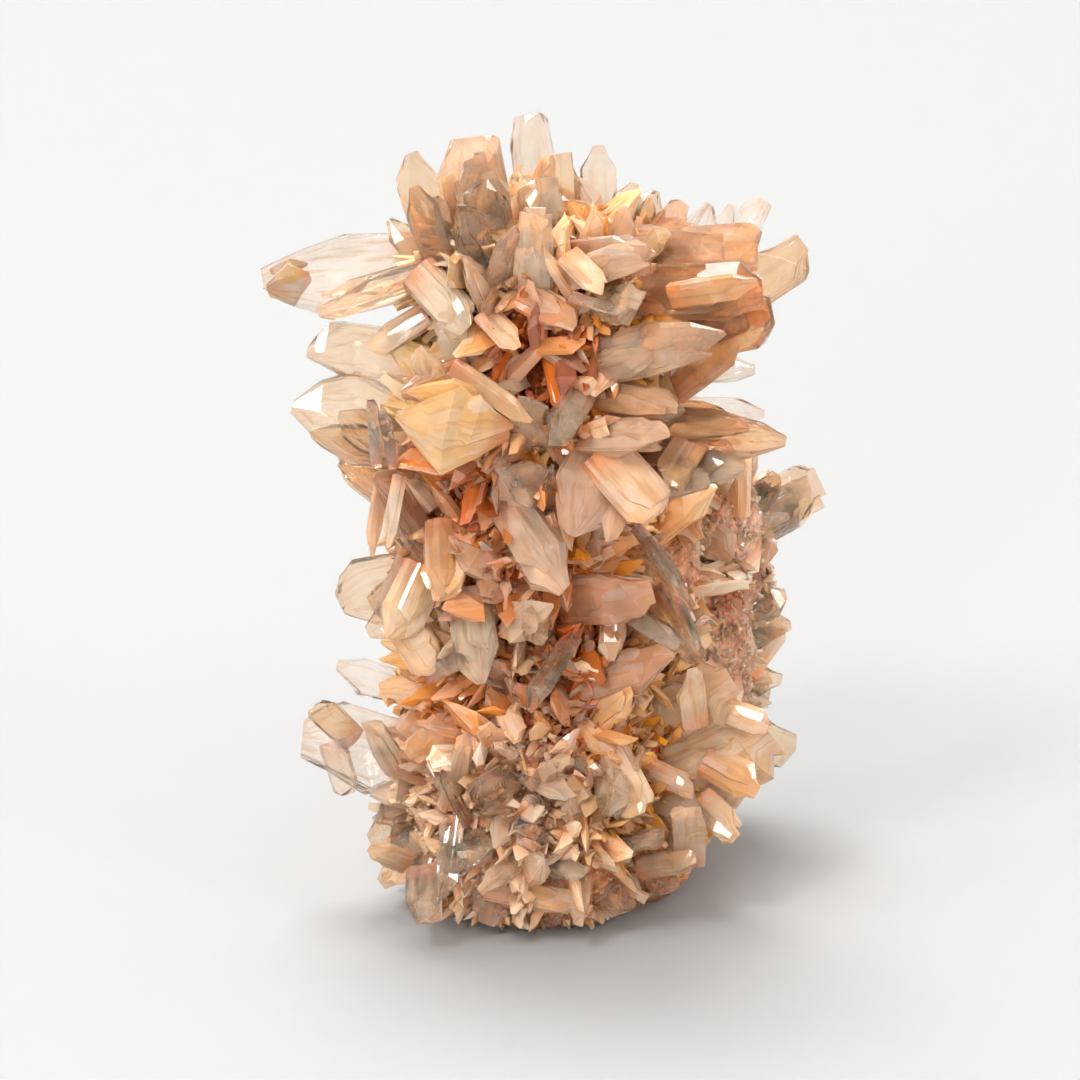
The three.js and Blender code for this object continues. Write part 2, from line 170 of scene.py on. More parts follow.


# Colours by part of the specimen: middle of the zone as seen, its radius, and the colour there. The
# dark orange-brown zones down the middle of the front, at the recesses, carry painted shade.
ZONES = [
    ((-8, 50, 4), 5, light_share(252, 208, 152)),
    ((-4, 56, 2), 4, light_share(252, 204, 148)),
    ((5, 53, 3), 4, light_share(252, 196, 138)),
    ((11, 49, 5), 5, light_share(252, 178, 86)),
    ((-13, 46, 2), 5, light_share(254, 222, 164)),
    ((0, 42, 7), 4.5, light_share(210, 100, 38)),
    ((11, 41, 5), 5, light_share(250, 186, 113)),
    ((-9, 33, 6), 3.5, light_share(220, 118, 40)),
    ((-9, 28, 6), 4, light_share(202, 104, 40)),
    ((4, 32, 7), 5, light_share(232, 150, 84)),
    ((0, 24, 6), 4, light_share(208, 110, 44)),
    ((-13, 24, 2), 4, light_share(252, 214, 154)),
    ((-8, 16, 6), 4, light_share(230, 148, 86)),
    ((2, 17, 7), 4.5, light_share(196, 104, 42)),
    ((12, 13, 4), 5, light_share(252, 192, 115)),
    ((-4, 7, 8), 5, light_share(254, 218, 184)),
    ((6, 4, 7), 4, light_share(250, 194, 138)),
    ((-14, 9, 2), 4, light_share(254, 214, 172)),
    ((16, 26, -14), 8, light_share(254, 236, 212)),
    ((0, 30, -12), 12, light_share(250, 194, 130)),
]


def zone_colour(places):
    """A mean of the zones' colours, each weighted by exp(-(distance / radius) squared)."""
    view = in_view(places)
    middles = np.array([zone[0] for zone in ZONES], float)
    radii = np.array([zone[1] for zone in ZONES], float)
    colours = np.array([zone[2] for zone in ZONES])
    distance = np.linalg.norm(view[:, None, :] - middles[None], axis=2)
    weight = np.exp(-((distance / radii) ** 2)) + 1e-6 / (1 + distance**2)
    return (weight @ colours) / weight.sum(1, keepdims=True)


# Hollows in the front, where no crystals hide the stained mass and its painted shade: as seen, with
# radius and depth.
HOLLOWS = np.array(
    [
        (-0.6, 42.4, 6, 3.4, 2.6),
        (1.4, 48.4, 6, 2.6, 1.8),
        (-10.6, 33.4, 6, 1.8, 2.0),
        (-9.6, 30.8, 6, 3.2, 1.2),
        (0.4, 24.0, 7, 1.7, 2.2),
        (0.8, 17.4, 8, 2.4, 2.4),
        (5.2, 12.6, 8, 1.6, 2.0),
        (9.6, 11.4, 7, 1.6, 2.0),
        (-6.4, 18.6, 7, 1.6, 1.4),
        (9.8, 30.4, 5, 1.6, 1.6),
    ]
)
# Orange iron stain with painted shade, laid on the mass in the hollows.
HOLLOW_STAIN_AND_SHADE = light_share(222, 104, 32)
MASS_HOLLOW_DEPTH = 1.8
# The mass is uneven in waves: height and length of each kind in millimetres.
MASS_WAVES = ((0.35, 4.5), (0.3, 1.8), (0.2, 0.8))
STAIN_PATCH = 5.0


def hollowness(places):
    """1 in the middle of a hollow as seen from the front, falling to 0 outside it."""
    view = in_view(places)
    flat = np.linalg.norm(view[:, None, :2] - HOLLOWS[None, :, :2], axis=2)
    ahead = view[:, None, 2] > HOLLOWS[None, :, 2] - 6
    return (np.exp(-((flat / HOLLOWS[:, 3]) ** 2)) * ahead).max(1)


def grain(places, length, rng, waves=14):
    """An even mix of sine waves in random directions, each about `length` metres long."""
    way = rng.normal(size=(waves, 3))
    way /= np.linalg.norm(way, axis=1, keepdims=True)
    wave = 2 * math.pi / (length * rng.uniform(0.6, 1.6, waves))
    phase = rng.uniform(0, 2 * math.pi, waves)
    return np.sin(places @ (way * wave[:, None]).T + phase).mean(1) * 2


def ring_faces(rings, sides):
    """Quads between neighbouring rings of an even number of corners, and quads that close both ends."""
    ring, side = np.meshgrid(np.arange(rings - 1), np.arange(sides), indexing="ij")
    after = (side + 1) % sides
    low = ring * sides
    wall = np.stack([low + side, low + after, low + sides + after, low + sides + side], -1).reshape(-1, 4)
    step = np.arange(sides // 2 - 1) * 2
    start = np.stack([0 * step, step + 3, step + 2, step + 1], 1)
    top = (rings - 1) * sides
    end = np.stack([0 * step, step + 1, step + 2, step + 3], 1) + top
    return np.concatenate([wall, start, end])


def piece_of(name, places, faces, material, tint, clear=None, lengthwise=None):
    """One mesh from many alike: places is (count, corners, 3), and faces serve each of them in turn.

    tint is a colour for each corner, clear how clear the crystal is there, and lengthwise a pair of
    millimetre distances around and along the crystal, kept as the UV map."""
    count, corners = places.shape[:2]
    places = places.copy()
    places[..., 2] = np.maximum(places[..., 2], 0.01 * MM)
    every = (faces[None] + (np.arange(count) * corners)[:, None, None]).reshape(-1, 4)
    first = places[0]
    a, b, c = first[faces[:, 0]], first[faces[:, 1]], first[faces[:, 2]]
    d = first[faces[:, 3]]
    middle = first.mean(0)
    volume = np.einsum("ij,ij->", a - middle, np.cross(b - middle, c - middle))
    volume += np.einsum("ij,ij->", a - middle, np.cross(c - middle, d - middle))
    if volume < 0:
        every = every[:, ::-1]
    mesh = bpy.data.meshes.new(name)
    mesh.vertices.add(count * corners)
    mesh.vertices.foreach_set("co", places.reshape(-1).astype(np.float32))
    mesh.loops.add(every.size)
    mesh.loops.foreach_set("vertex_index", every.reshape(-1).astype(np.int32))
    mesh.polygons.add(len(every))
    mesh.polygons.foreach_set("loop_start", np.arange(0, every.size, 4, dtype=np.int32))
    mesh.update(calc_edges=True)
    mesh.shade_flat()
    colours = np.broadcast_to(tint, (count, corners, 3)).reshape(-1).astype(np.float32)
    mesh.attributes.new("tint", "FLOAT_VECTOR", "POINT").data.foreach_set("vector", colours)
    if clear is not None:
        values = np.broadcast_to(clear, (count, corners)).reshape(-1).astype(np.float32)
        mesh.attributes.new("clear", "FLOAT", "POINT").data.foreach_set("value", values)
    if lengthwise is not None:
        along = lengthwise.reshape(-1, 2)[every.reshape(-1)]
        mesh.uv_layers.new(name="lengthwise").data.foreach_set("uv", along.reshape(-1).astype(np.float32))
    mesh.materials.append(material)
    made = bpy.data.objects.new(name, mesh)
    bpy.context.scene.collection.objects.link(made)
    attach(made, "root")
    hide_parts("creedite_cluster")
    return made


def node(net, kind, inputs=(), **settings):
    """A shader node with its settings, and its inputs linked or set by name or number."""
    made = net.nodes.new(kind)
    for key, value in settings.items():
        setattr(made, key, value)
    for key, value in dict(inputs).items():
        if isinstance(value, bpy.types.NodeSocket):
            net.links.new(value, made.inputs[key])
        else:
            made.inputs[key].default_value = value
    return made


def map_range(net, value, low, high, at_low, at_high):
    """A value carried from low..high to at_low..at_high and held at those ends."""
    made = node(net, "ShaderNodeMapRange", {0: value, 1: low, 2: high, 3: at_low, 4: at_high})
    return made.outputs["Result"]


def mix_colour(net, share, first, second):
    """The first colour where share is 0, running to the second, a plain colour, where it is 1."""
    made = node(net, "ShaderNodeMix", {0: share, 6: first}, data_type="RGBA")
    made.inputs[7].default_value = second
    return made.outputs[2]


GRAIN_COLOUR = (0.80, 0.42, 0.24, 1)


def stained_mass():
    """Red-brown to pink granular stone: colour from the tint, broken by grains of 0.2 to 1.5 mm."""
    made = bpy.data.materials.new("stained_mass")
    made.use_nodes = True
    net = made.node_tree
    shader = net.nodes["Principled BSDF"]
    place = node(net, "ShaderNodeTexCoord").outputs["Object"]
    tint = node(net, "ShaderNodeAttribute", attribute_name="tint").outputs["Vector"]
    coarse = node(net, "ShaderNodeTexNoise", {"Vector": place, "Scale": 900.0, "Detail": 5.0})
    coarse.inputs["Roughness"].default_value = 0.65
    fine = node(net, "ShaderNodeTexVoronoi", {"Vector": place, "Scale": 2600.0})
    shade = map_range(net, coarse.outputs["Fac"], 0.35, 0.68, 0.45, 1.35)
    colour = node(net, "ShaderNodeMix", {0: 1.0, 6: tint}, data_type="RGBA", blend_type="MULTIPLY")
    net.links.new(shade, colour.inputs[7])
    pale = map_range(net, fine.outputs["Distance"], 0.0, 0.45, 0.55, 0.0)
    mixed = mix_colour(net, pale, colour.outputs[2], GRAIN_COLOUR)
    height = node(net, "ShaderNodeMath", {0: coarse.outputs["Fac"]}, operation="SUBTRACT")
    net.links.new(fine.outputs["Distance"], height.inputs[1])
    bump = node(net, "ShaderNodeBump", {"Height": height.outputs[0], "Strength": 0.9, "Distance": 0.0003})
    net.links.new(mixed, shader.inputs["Base Color"])
    net.links.new(bump.outputs["Normal"], shader.inputs["Normal"])
    shader.inputs["Roughness"].default_value = 0.45
    return made


ROWS, COLUMNS = 44, 76
chance = np.random.default_rng(11)
theta = np.linspace(0.02, math.pi - 0.02, ROWS)[:, None]
phi = np.linspace(0, 2 * math.pi, COLUMNS, endpoint=False)[None, :]
ball = [np.sin(theta) * np.cos(phi), np.sin(theta) * np.sin(phi), np.cos(theta) + 0 * phi]
ball = np.stack(ball, -1).reshape(-1, 3)
mass = LUMP_MIDDLE[:, None] + ball[None] * LUMP_SIZE[:, None]
flat = mass.reshape(-1, 3)
rise = sum(height * grain(flat, length * MM, chance) for height, length in MASS_WAVES)
depth = hollowness(flat) * MASS_HOLLOW_DEPTH
outward = np.broadcast_to(ball[None], mass.shape).reshape(-1, 3)
flat = flat + outward * ((rise - depth) * MM)[:, None]
flat[:, 2] = np.maximum(flat[:, 2], 0.0)
mass = flat.reshape(mass.shape)
# How far the mass runs to the stain colour: about half way everywhere, and fully in the hollows, where it
# is painted shade as well as stain.
stain_and_shade = hollowness(flat) * 1.5 + 0.5 + 0.3 * grain(flat, STAIN_PATCH * MM, chance)
stain_and_shade = np.clip(stain_and_shade, 0, 1)[:, None]
mass_tint = zone_colour(flat) * (1 - stain_and_shade) + HOLLOW_STAIN_AND_SHADE * stain_and_shade
stain = stained_mass()
piece_of("rough_mass", mass, ring_faces(ROWS, COLUMNS), stain, mass_tint.reshape(mass.shape))

# The large crystals: flat blades with eight sides, bevelled edges in a pale painted highlight, and
# chisel ends. They are see-through creedite, clearest at the tips, with clouds and rust. Where they
# leave the mass they run to orange, an iron stain deepened with painted shade of the gaps, and their
# tip caps carry a painted refraction colour. The crown at the top comes first.
BLADE_SECTION = np.array([(1, 0.05), (0.82, 0.8), (-0.2, 1), (-0.88, 0.66)])
BLADE_SECTION = np.concatenate([BLADE_SECTION, -BLADE_SECTION])
PLAIN_SECTION = np.array([(1, 0), (0.74, 0.9), (-0.66, 1), (-1, 0), (-0.74, -0.9), (0.66, -1)])
# Each station: the share of the length, and the share of the full section there.
FORMS = {
    "blade": [(0, 0.94), (0.4, 0.97), (0.72, 1.0), (0.86, 0.58), (1.0, 0.14)],
    "lens": [(0, 0.72), (0.3, 0.88), (0.56, 1.0), (0.82, 0.66), (1.0, 0.12)],
    "blunt": [(0, 0.94), (0.45, 0.97), (0.82, 1.0), (0.91, 0.74), (1.0, 0.48)],
    "lozenge": [(0, 0.1), (0.25, 0.56), (0.48, 1.0), (0.76, 0.54), (1.0, 0.06)],
}
SHORT_STATIONS = np.array([(0, 0.9), (0.66, 1.0), (0.84, 0.56), (1.0, 0.1)])
TINY_STATIONS = np.array([(0, 0.9), (0.66, 1.0), (1.0, 0.12)])
SHOULDER_TILT = 0.14
CHISEL_THICKNESS = 0.06


def crystals(tips, roots, wide, thick, turn, edge, rng, section, stations, uneven, most_lean):
    """Crystals as rings of corners: root + share * length + side * u * wide/2 + flat * v * thick/2.

    stations is one list for all of them, or one for each: (count, rings, 2).

    The section's corners (u, v) are shrunk at each station, and the last ring is drawn out to a
    chisel edge. The shoulder is tilted, and the end leans to one side, both at random."""
    count, sides = len(tips), len(section)
    stations = np.broadcast_to(stations, (count, *np.shape(stations)[-2:]))
    rings = stations.shape[1]
    span = tips - roots
    length = np.linalg.norm(span, axis=1, keepdims=True)
    axis = span / length
    side = np.cross(axis, TO_VIEWER)
    points_at_viewer = np.linalg.norm(side, axis=1, keepdims=True) < 0.2
    side = np.where(points_at_viewer, np.cross(axis, [1.0, 0, 0]), side)
    side /= np.linalg.norm(side, axis=1, keepdims=True)
    turn = np.radians(turn)[:, None]
    side = side * np.cos(turn) + np.cross(axis, side) * np.sin(turn)
    flat = np.cross(side, axis)
    corner = section[None] + rng.normal(scale=uneven, size=(count, sides, 2))
    share = np.broadcast_to(stations[:, :, :1], (count, rings, sides)).copy()
    scale = np.broadcast_to(stations[:, :, 1:], (count, rings, sides)).copy()
    scale[:, 1:-1] *= 1 + rng.normal(scale=uneven * 0.5, size=(count, rings - 2, 1))
    tilt = rng.uniform(-SHOULDER_TILT, SHOULDER_TILT, (count, 2))
    slope = (corner * tilt[:, None, :]).sum(2)
    share[:, -3:-1] += slope[:, None, :] * np.array([1.0, 0.6])[None, :, None]
    lean = rng.uniform(-most_lean, most_lean, (count, 2))
    beyond = (share.mean(2) > 0.5)[..., None] * (1 - scale)
    u = corner[:, None, :, 0] * scale + beyond * lean[:, None, :1]
    v = corner[:, None, :, 1] * scale + beyond * lean[:, None, 1:]
    u[:, -1] = np.clip(corner[:, :, 0], -1, 1) * edge[:, None] + lean[:, :1] * (1 - edge[:, None])
    v[:, -1] = np.clip(corner[:, :, 1], -1, 1) * CHISEL_THICKNESS + lean[:, 1:] * 0.7
    half_wide = (wide / 2)[:, None, None, None]
    half_thick = (thick / 2)[:, None, None, None]
    places = roots[:, None, None] + span[:, None, None] * share[..., None]
    places = places + side[:, None, None] * u[..., None] * half_wide
    places = places + flat[:, None, None] * v[..., None] * half_thick
    around = np.broadcast_to(np.linspace(0, 3, sides)[None, None], share.shape)
    around = around * (wide / MM)[:, None, None]
    lengthwise = np.stack([around, share * (length / MM)[:, :, None]], -1)
    lengthwise = lengthwise + rng.uniform(0, 90, (count, 1, 1, 2))
    return places.reshape(count, -1, 3), share.reshape(count, -1), lengthwise.reshape(count, -1, 2)


# Light that goes through many crystals set into each other meets faces that a real intergrowth
# doesn't have. So they bend light less than creedite does, 1.2 in place of 1.46, and a thin clear
# coat gives their outer faces the gloss of 1.46.
BEND_INSIDE = 1.2
BEND_OF_CREEDITE = 1.46
FLAW_COLOUR = (1.0, 0.88, 0.76, 1)
RUST_COLOUR = (0.72, 0.30, 0.07, 1)
CLEAR_COLOUR = (0.98, 0.90, 0.82, 1)


def glassy(net, shader, body, density):
    """Bending, the gloss of the outer faces, and the colour that light takes on its way through."""
    shader.inputs["IOR"].default_value = BEND_INSIDE
    shader.inputs["Coat Weight"].default_value = 0.8
    shader.inputs["Coat IOR"].default_value = BEND_OF_CREEDITE
    soak = node(net, "ShaderNodeVolumeAbsorption", {"Color": (*body, 1), "Density": density})
    net.links.new(soak.outputs[0], net.nodes["Material Output"].inputs["Volume"])


def crystal_material(name, body, density, frost, stain_share):
    """Large crystals: clearer where the clear attribute is high, and cloudy in soft patches.

    body is the absorption colour, density how deep it gets, frost how milky it is, and
    stain_share how much of it has streaks of rust along its length."""
    made = bpy.data.materials.new(name)
    made.use_nodes = True
    net = made.node_tree
    shader = net.nodes["Principled BSDF"]
    place = node(net, "ShaderNodeTexCoord")
    tint = node(net, "ShaderNodeAttribute", attribute_name="tint").outputs["Vector"]
    clear = node(net, "ShaderNodeAttribute", attribute_name="clear").outputs["Fac"]
    cloud = node(net, "ShaderNodeTexNoise", {0: place.outputs["Object"], "Scale": 420.0, "Detail": 1.0})
    flaws = node(net, "ShaderNodeMapping", {0: place.outputs["UV"], "Scale": (0.9, 0.4, 1.0)})
    cells = node(net, "ShaderNodeTexVoronoi", {0: flaws.outputs[0], "Scale": 1.0})
    cells.distance = "CHEBYCHEV"
    flawed = map_range(net, cells.outputs["Color"], 0.4, 1.0, 0.0, 0.45)
    patch = mix_colour(net, flawed, tint, FLAW_COLOUR)
    milky = map_range(net, cloud.outputs["Fac"], 0.42, 0.66, 0.0, frost)
    through = node(net, "ShaderNodeMath", {0: clear, 1: milky}, operation="SUBTRACT", use_clamp=True)
    stretch = node(net, "ShaderNodeMapping", {0: place.outputs["UV"], "Scale": (2.2, 0.22, 1.0)})
    streak = node(net, "ShaderNodeTexNoise", {0: stretch.outputs[0], "Scale": 1.0, "Detail": 1.0})
    rust = map_range(net, streak.outputs["Fac"], 0.55, 0.66, 0.0, stain_share)
    wash = node(net, "ShaderNodeMath", {0: through.outputs[0], 1: 0.35}, operation="MULTIPLY")
    rusty = mix_colour(net, rust, patch, RUST_COLOUR)
    colour = mix_colour(net, wash.outputs[0], rusty, CLEAR_COLOUR)
    bump = node(net, "ShaderNodeBump", {"Height": cells.outputs["Distance"]})
    bump.inputs["Strength"].default_value = 0.5
    bump.inputs["Distance"].default_value = 0.3 * MM
    net.links.new(colour, shader.inputs["Base Color"])
    net.links.new(through.outputs[0], shader.inputs["Transmission Weight"])
    rough = map_range(net, cloud.outputs["Fac"], 0.4, 0.7, 0.03, 0.15)
    net.links.new(rough, shader.inputs["Roughness"])
    net.links.new(bump.outputs["Normal"], shader.inputs["Normal"])
    glassy(net, shader, body, density)
    return made


def small_material(name, body, density):
    """Small crystals: their tint and clearness come from the mesh."""
    made = bpy.data.materials.new(name)
    made.use_nodes = True
    net = made.node_tree
    shader = net.nodes["Principled BSDF"]
    tint = node(net, "ShaderNodeAttribute", attribute_name="tint").outputs["Vector"]
    clear = node(net, "ShaderNodeAttribute", attribute_name="clear").outputs["Fac"]
    net.links.new(tint, shader.inputs["Base Color"])
    net.links.new(clear, shader.inputs["Transmission Weight"])
    shader.inputs["Roughness"].default_value = 0.12
    glassy(net, shader, body, density)
    return made


# The tints of single crystals, from water-clear to rust.
WATER = light_share(255, 250, 245)
PALE = light_share(252, 220, 178)
HONEY = light_share(248, 186, 100)
PEACH = light_share(252, 200, 142)
ORANGE = light_share(250, 170, 72)
ROSE = light_share(250, 190, 138)
BROWN = light_share(220, 138, 76)
# Orange iron stain with painted shade of the gaps, laid on the roots of the crystals.
ROOT_STAIN_AND_SHADE = light_share(240, 132, 46)
# A painted refraction colour for the brown piece on the long clear blade's tip.
PAINTED_REFRACTION_TIP_PIECE = light_share(190, 138, 50)
# A painted refraction colour for the tip caps: the peach-brown that light bent through the tips takes on.
PAINTED_REFRACTION_CAP = light_share(240, 172, 114)

# The narrow bevelled edges of the large crystals, given a pale colour as a painted highlight of the
# light they catch.
painted_highlight_edge = bpy.data.materials.new("painted_highlight_edge")
painted_highlight_edge.use_nodes = True
edge_shader = painted_highlight_edge.node_tree.nodes["Principled BSDF"]
edge_shader.inputs["Base Color"].default_value = (1.0, 0.86, 0.72, 1)
edge_shader.inputs["Roughness"].default_value = 0.15
edge_shader.inputs["Transmission Weight"].default_value = 0.4


THICKNESS_SHARE = 0.72
MOST_TURN = 28
TURNED_BELOW = 0.88
PAIRED_BELOW = 0.9
# The crystals beside a cloudy one: steps beside it and off its face, and the share of its width.
BESIDE = ((0.12, 0.34, 0.68), (-0.3, -0.1, 0.5))


def blades(name, rows, material, seed):
    """One piece of large crystals. Each row: tip, root, width, thickness, turn, edge, clearness,
    tint and form, all as seen and in millimetres and degrees.

    A cloudy one has two narrower crystals grown parallel to it, on its broad face and beside it."""
    rng = np.random.default_rng(seed)
    numbers = np.array([row[:11] for row in rows], float)
    tints = np.array([row[11] for row in rows])
    stations = np.array([FORMS[row[12] if len(row) > 12 else "blade"] for row in rows])
    tips, roots = seen(numbers[:, :3]), seen(numbers[:, 3:6])
    wide, thick = numbers[:, 6] * MM, numbers[:, 7] * MM * THICKNESS_SHARE
    turn, edge, clearness = numbers[:, 8], numbers[:, 9], numbers[:, 10]
    turn = turn + rng.uniform(-MOST_TURN, MOST_TURN, len(rows)) * (clearness < TURNED_BELOW)
    axis = (tips - roots) / np.linalg.norm(tips - roots, axis=1, keepdims=True)
    side = np.cross(axis, TO_VIEWER)
    side /= np.linalg.norm(side, axis=1, keepdims=True)
    flat = np.cross(side, axis)
    near_side = np.where((flat @ TO_VIEWER) < 0, -1, 1)[:, None]
    all_tips, all_roots, all_wide, all_thick = [tips], [roots], [wide], [thick]
    cloudy = np.flatnonzero(clearness < PAIRED_BELOW)
    for beside, on_face, narrow in BESIDE:
        few = len(cloudy)
        reach = rng.uniform(0.6, 0.94, (few, 1))
        sway = rng.choice([-1.0, 1.0], (few, 1)) * rng.uniform(0.8, 1.2, (few, 1))
        step = side[cloudy] * beside * sway * wide[cloudy, None]
        step += flat[cloudy] * near_side[cloudy] * on_face * thick[cloudy, None]
        all_tips.append(roots[cloudy] + (tips - roots)[cloudy] * reach + step)
        all_roots.append(roots[cloudy] + step)
        all_wide.append(wide[cloudy] * narrow * rng.uniform(0.85, 1.15, few))
        all_thick.append(thick[cloudy] * rng.uniform(0.45, 0.7, few))
    own = np.concatenate([np.arange(len(rows)), cloudy, cloudy])
    sway = rng.uniform(-6, 6, len(own)) * (np.arange(len(own)) >= len(rows))
    places, share, lengthwise = crystals(
        np.concatenate(all_tips),
        np.concatenate(all_roots),
        np.concatenate(all_wide),
        np.concatenate(all_thick),
        turn[own] + sway,
        edge[own],
        rng,
        BLADE_SECTION,
        stations[own],
        0.07,
        0.4,
    )
    fade = np.clip(share * 2.6 + 0.1, 0, 1)
    cap = np.clip((share - 0.84) * 8, 0, 1)[..., None] * 0.4
    clear = np.clip(clearness[own, None] ** 2 * 1.45, 0.0, 0.96) * (0.75 + 0.25 * fade)
    pale = rng.uniform(0, 1, (len(own), 1, 1)) ** 2 * 0.4
    tint = tints[own][:, None] * (1 - pale) + PALE * pale
    # Towards the root the tint runs to the iron stain with painted shade.
    tint = tint * fade[..., None] + ROOT_STAIN_AND_SHADE * (1 - fade[..., None])
    # The tip caps take the painted refraction colour.
    tint = tint * (1 - cap) + PAINTED_REFRACTION_CAP * cap
    faces = ring_faces(stations.shape[1], len(BLADE_SECTION))
    piece = piece_of(name, places, faces, material, tint, clear, lengthwise)
    # The bevels carry the pale painted highlight material.
    bevel = piece.modifiers.new("painted_highlight_bevel", "BEVEL")
    bevel.width = 0.05 * MM
    bevel.segments = 1
    bevel.limit_method = "ANGLE"
    bevel.angle_limit = math.radians(24)
    bevel.material = 1
    piece.data.materials.append(painted_highlight_edge)
    return piece


CROWN = [
    # tip, root, width, thickness, turn, edge, clearness, tint
    (-1.7, 62.4, -4, -0.3, 54.2, -4, 3.8, 2.4, 0, 0.6, 0.98, WATER, "blunt"),
    (4, 60.1, -5, 4.2, 53.6, -5, 3.3, 2.2, 0, 0.3, 0.96, WATER),
    (0.8, 59.3, -2, 1.4, 53, -2, 3.2, 2.4, 0, 0.6, 0.8, PALE),
    (-6.6, 60.4, -1, -4.8, 51, 0, 5.6, 3.2, 0, 0.5, 0.75, PEACH, "blunt"),
    (-10.9, 58.9, 4, -7.9, 50, 3, 3.6, 2.6, 0, 0.3, 0.8, PALE),
    (-5.5, 59, 3, -3.8, 51, 2, 4.2, 2.6, 0, 0.5, 0.7, PEACH),
    (-4.7, 57, 6, -4.2, 50, 4, 3.4, 2.4, 0, 0.3, 0.8, PALE),
    (-6.4, 55, 8, -5, 49, 5, 3, 2, 0, 0.3, 0.85, PALE),
    (-2.6, 53.4, 9, -4.2, 48.4, 6, 2.2, 1.8, 0, 0.1, 0.75, ROSE),
    (-0.3, 57.2, 3, -0.2, 50.6, 2, 3.2, 2.2, 0, 0.6, 0.7, PALE),
    (-1, 54.6, 9, -1.1, 47.4, 6, 3, 2.2, 20, 0.6, 0.65, PALE),
    (6.7, 57.2, -4, 5.6, 53.4, -3, 2, 1.6, 0, 0.3, 0.9, PALE),
    (8.7, 56.5, -4, 7.4, 52.4, -3, 2.4, 1.8, 0, 0.3, 0.85, PALE),
    (11.2, 55.2, -2, 7.8, 51.4, -1, 3, 2, 0, 0.3, 0.75, ROSE),
    (-6.2, 45.4, 8, -10.3, 49.9, 5, 3.2, 1.6, 0, 0.4, 0.6, PALE, "blunt"),
    (-14, 43.8, 5, -9.5, 46.6, 4, 2.4, 1.2, 10, 0.3, 0.7, PALE, "blade"),
    (-0.9, 57, 2, -1, 51, 1, 3, 1.8, 0, 0.5, 0.6, PEACH, "blunt"),
    (-1.3, 54.2, 9, -1.4, 48.3, 6, 2.7, 1.9, 0, 0.6, 0.5, ROSE, "blunt"),
    (-6.3, 51, 8, -3.8, 45.6, 6, 2.1, 1.1, 20, 0.3, 0.6, ROSE, "blade"),
    (-8.1, 46.6, 8, -6.2, 42.2, 6, 2.4, 1.2, -15, 0.3, 0.6, PALE, "blade"),
    (6.5, 54.9, 3, 5.2, 51, 2, 2.1, 1.3, 0, 0.4, 0.5, ROSE, "blade"),
    (3.6, 54.2, 5, 3.1, 50.2, 4, 1.9, 1.1, 0, 0.4, 0.5, PEACH, "blade"),
    (9.4, 53.1, 5, 7, 50.6, 3, 1.9, 1.1, 0, 0.4, 0.5, PEACH, "blade"),
]
peach = crystal_material("peach_creedite", (1.0, 0.77, 0.42), 150.0, 0.15, 0.5)
blades("crown_crystals", CROWN, peach, 21)

# The left side: the long clear blade that reaches out, the slab under it, and clear to pink blades
# below. They stand free of the mass, so light comes through them from behind.
LEFT_SIDE = [
    (-22.4, 48.7, 2, -8.6, 50.8, 1, 6.8, 3.6, 8, 0.25, 0.92, WATER, "lens"),
    # A brown lozenge over the tip of the long clear blade: painted refraction, the colour that light bent
    # through the clear tip takes on.
    (-22.1, 48.6, 2, -18.6, 49.4, 2, 3.6, 1.6, 8, 0.3, 0.5, PAINTED_REFRACTION_TIP_PIECE, "lozenge"),
    (-18.1, 46.9, 6, -8, 50, 4, 2.6, 2.2, 55, 0.4, 0.85, PALE),
    (-12.4, 54.1, 1, -9.6, 50.4, 1, 2, 1.6, 0, 0.3, 0.9, PALE),
    (-19, 44.4, -1, -9.6, 43.4, 0, 4.4, 2.6, 0, 0.2, 0.9, PALE),
    (-19.9, 40.3, 1, -9.6, 36.6, 1, 7.2, 3.4, 10, 0.15, 0.88, PALE, "lens"),
    (-16.8, 36.4, -2, -10.4, 31.4, 0, 4, 2.6, 0, 0.3, 0.85, PEACH),
    (-13.4, 34.2, 5, -8.6, 26.8, 3, 3.6, 2.4, 30, 0.3, 0.7, ROSE),
    (-16.4, 23.4, -1, -10, 25.6, 0, 7, 3, 0, 0.3, 0.85, PALE, "lens"),
    (-17, 18.4, -1, -10, 16.6, 0, 3, 2, 0, 0.3, 0.92, WATER),
    (-19.8, 12.3, 1, -10, 11.4, 1, 7.2, 3.6, 12, 0.45, 0.92, WATER, "lens"),
    (-14.4, 4.6, 2, -9, 7, 1, 4.2, 2.6, 0, 0.3, 0.85, PALE),
]
water = crystal_material("clear_creedite", (1.0, 0.86, 0.66), 70.0, 0.15, 0.8)
blades("left_crystals", LEFT_SIDE, water, 22)

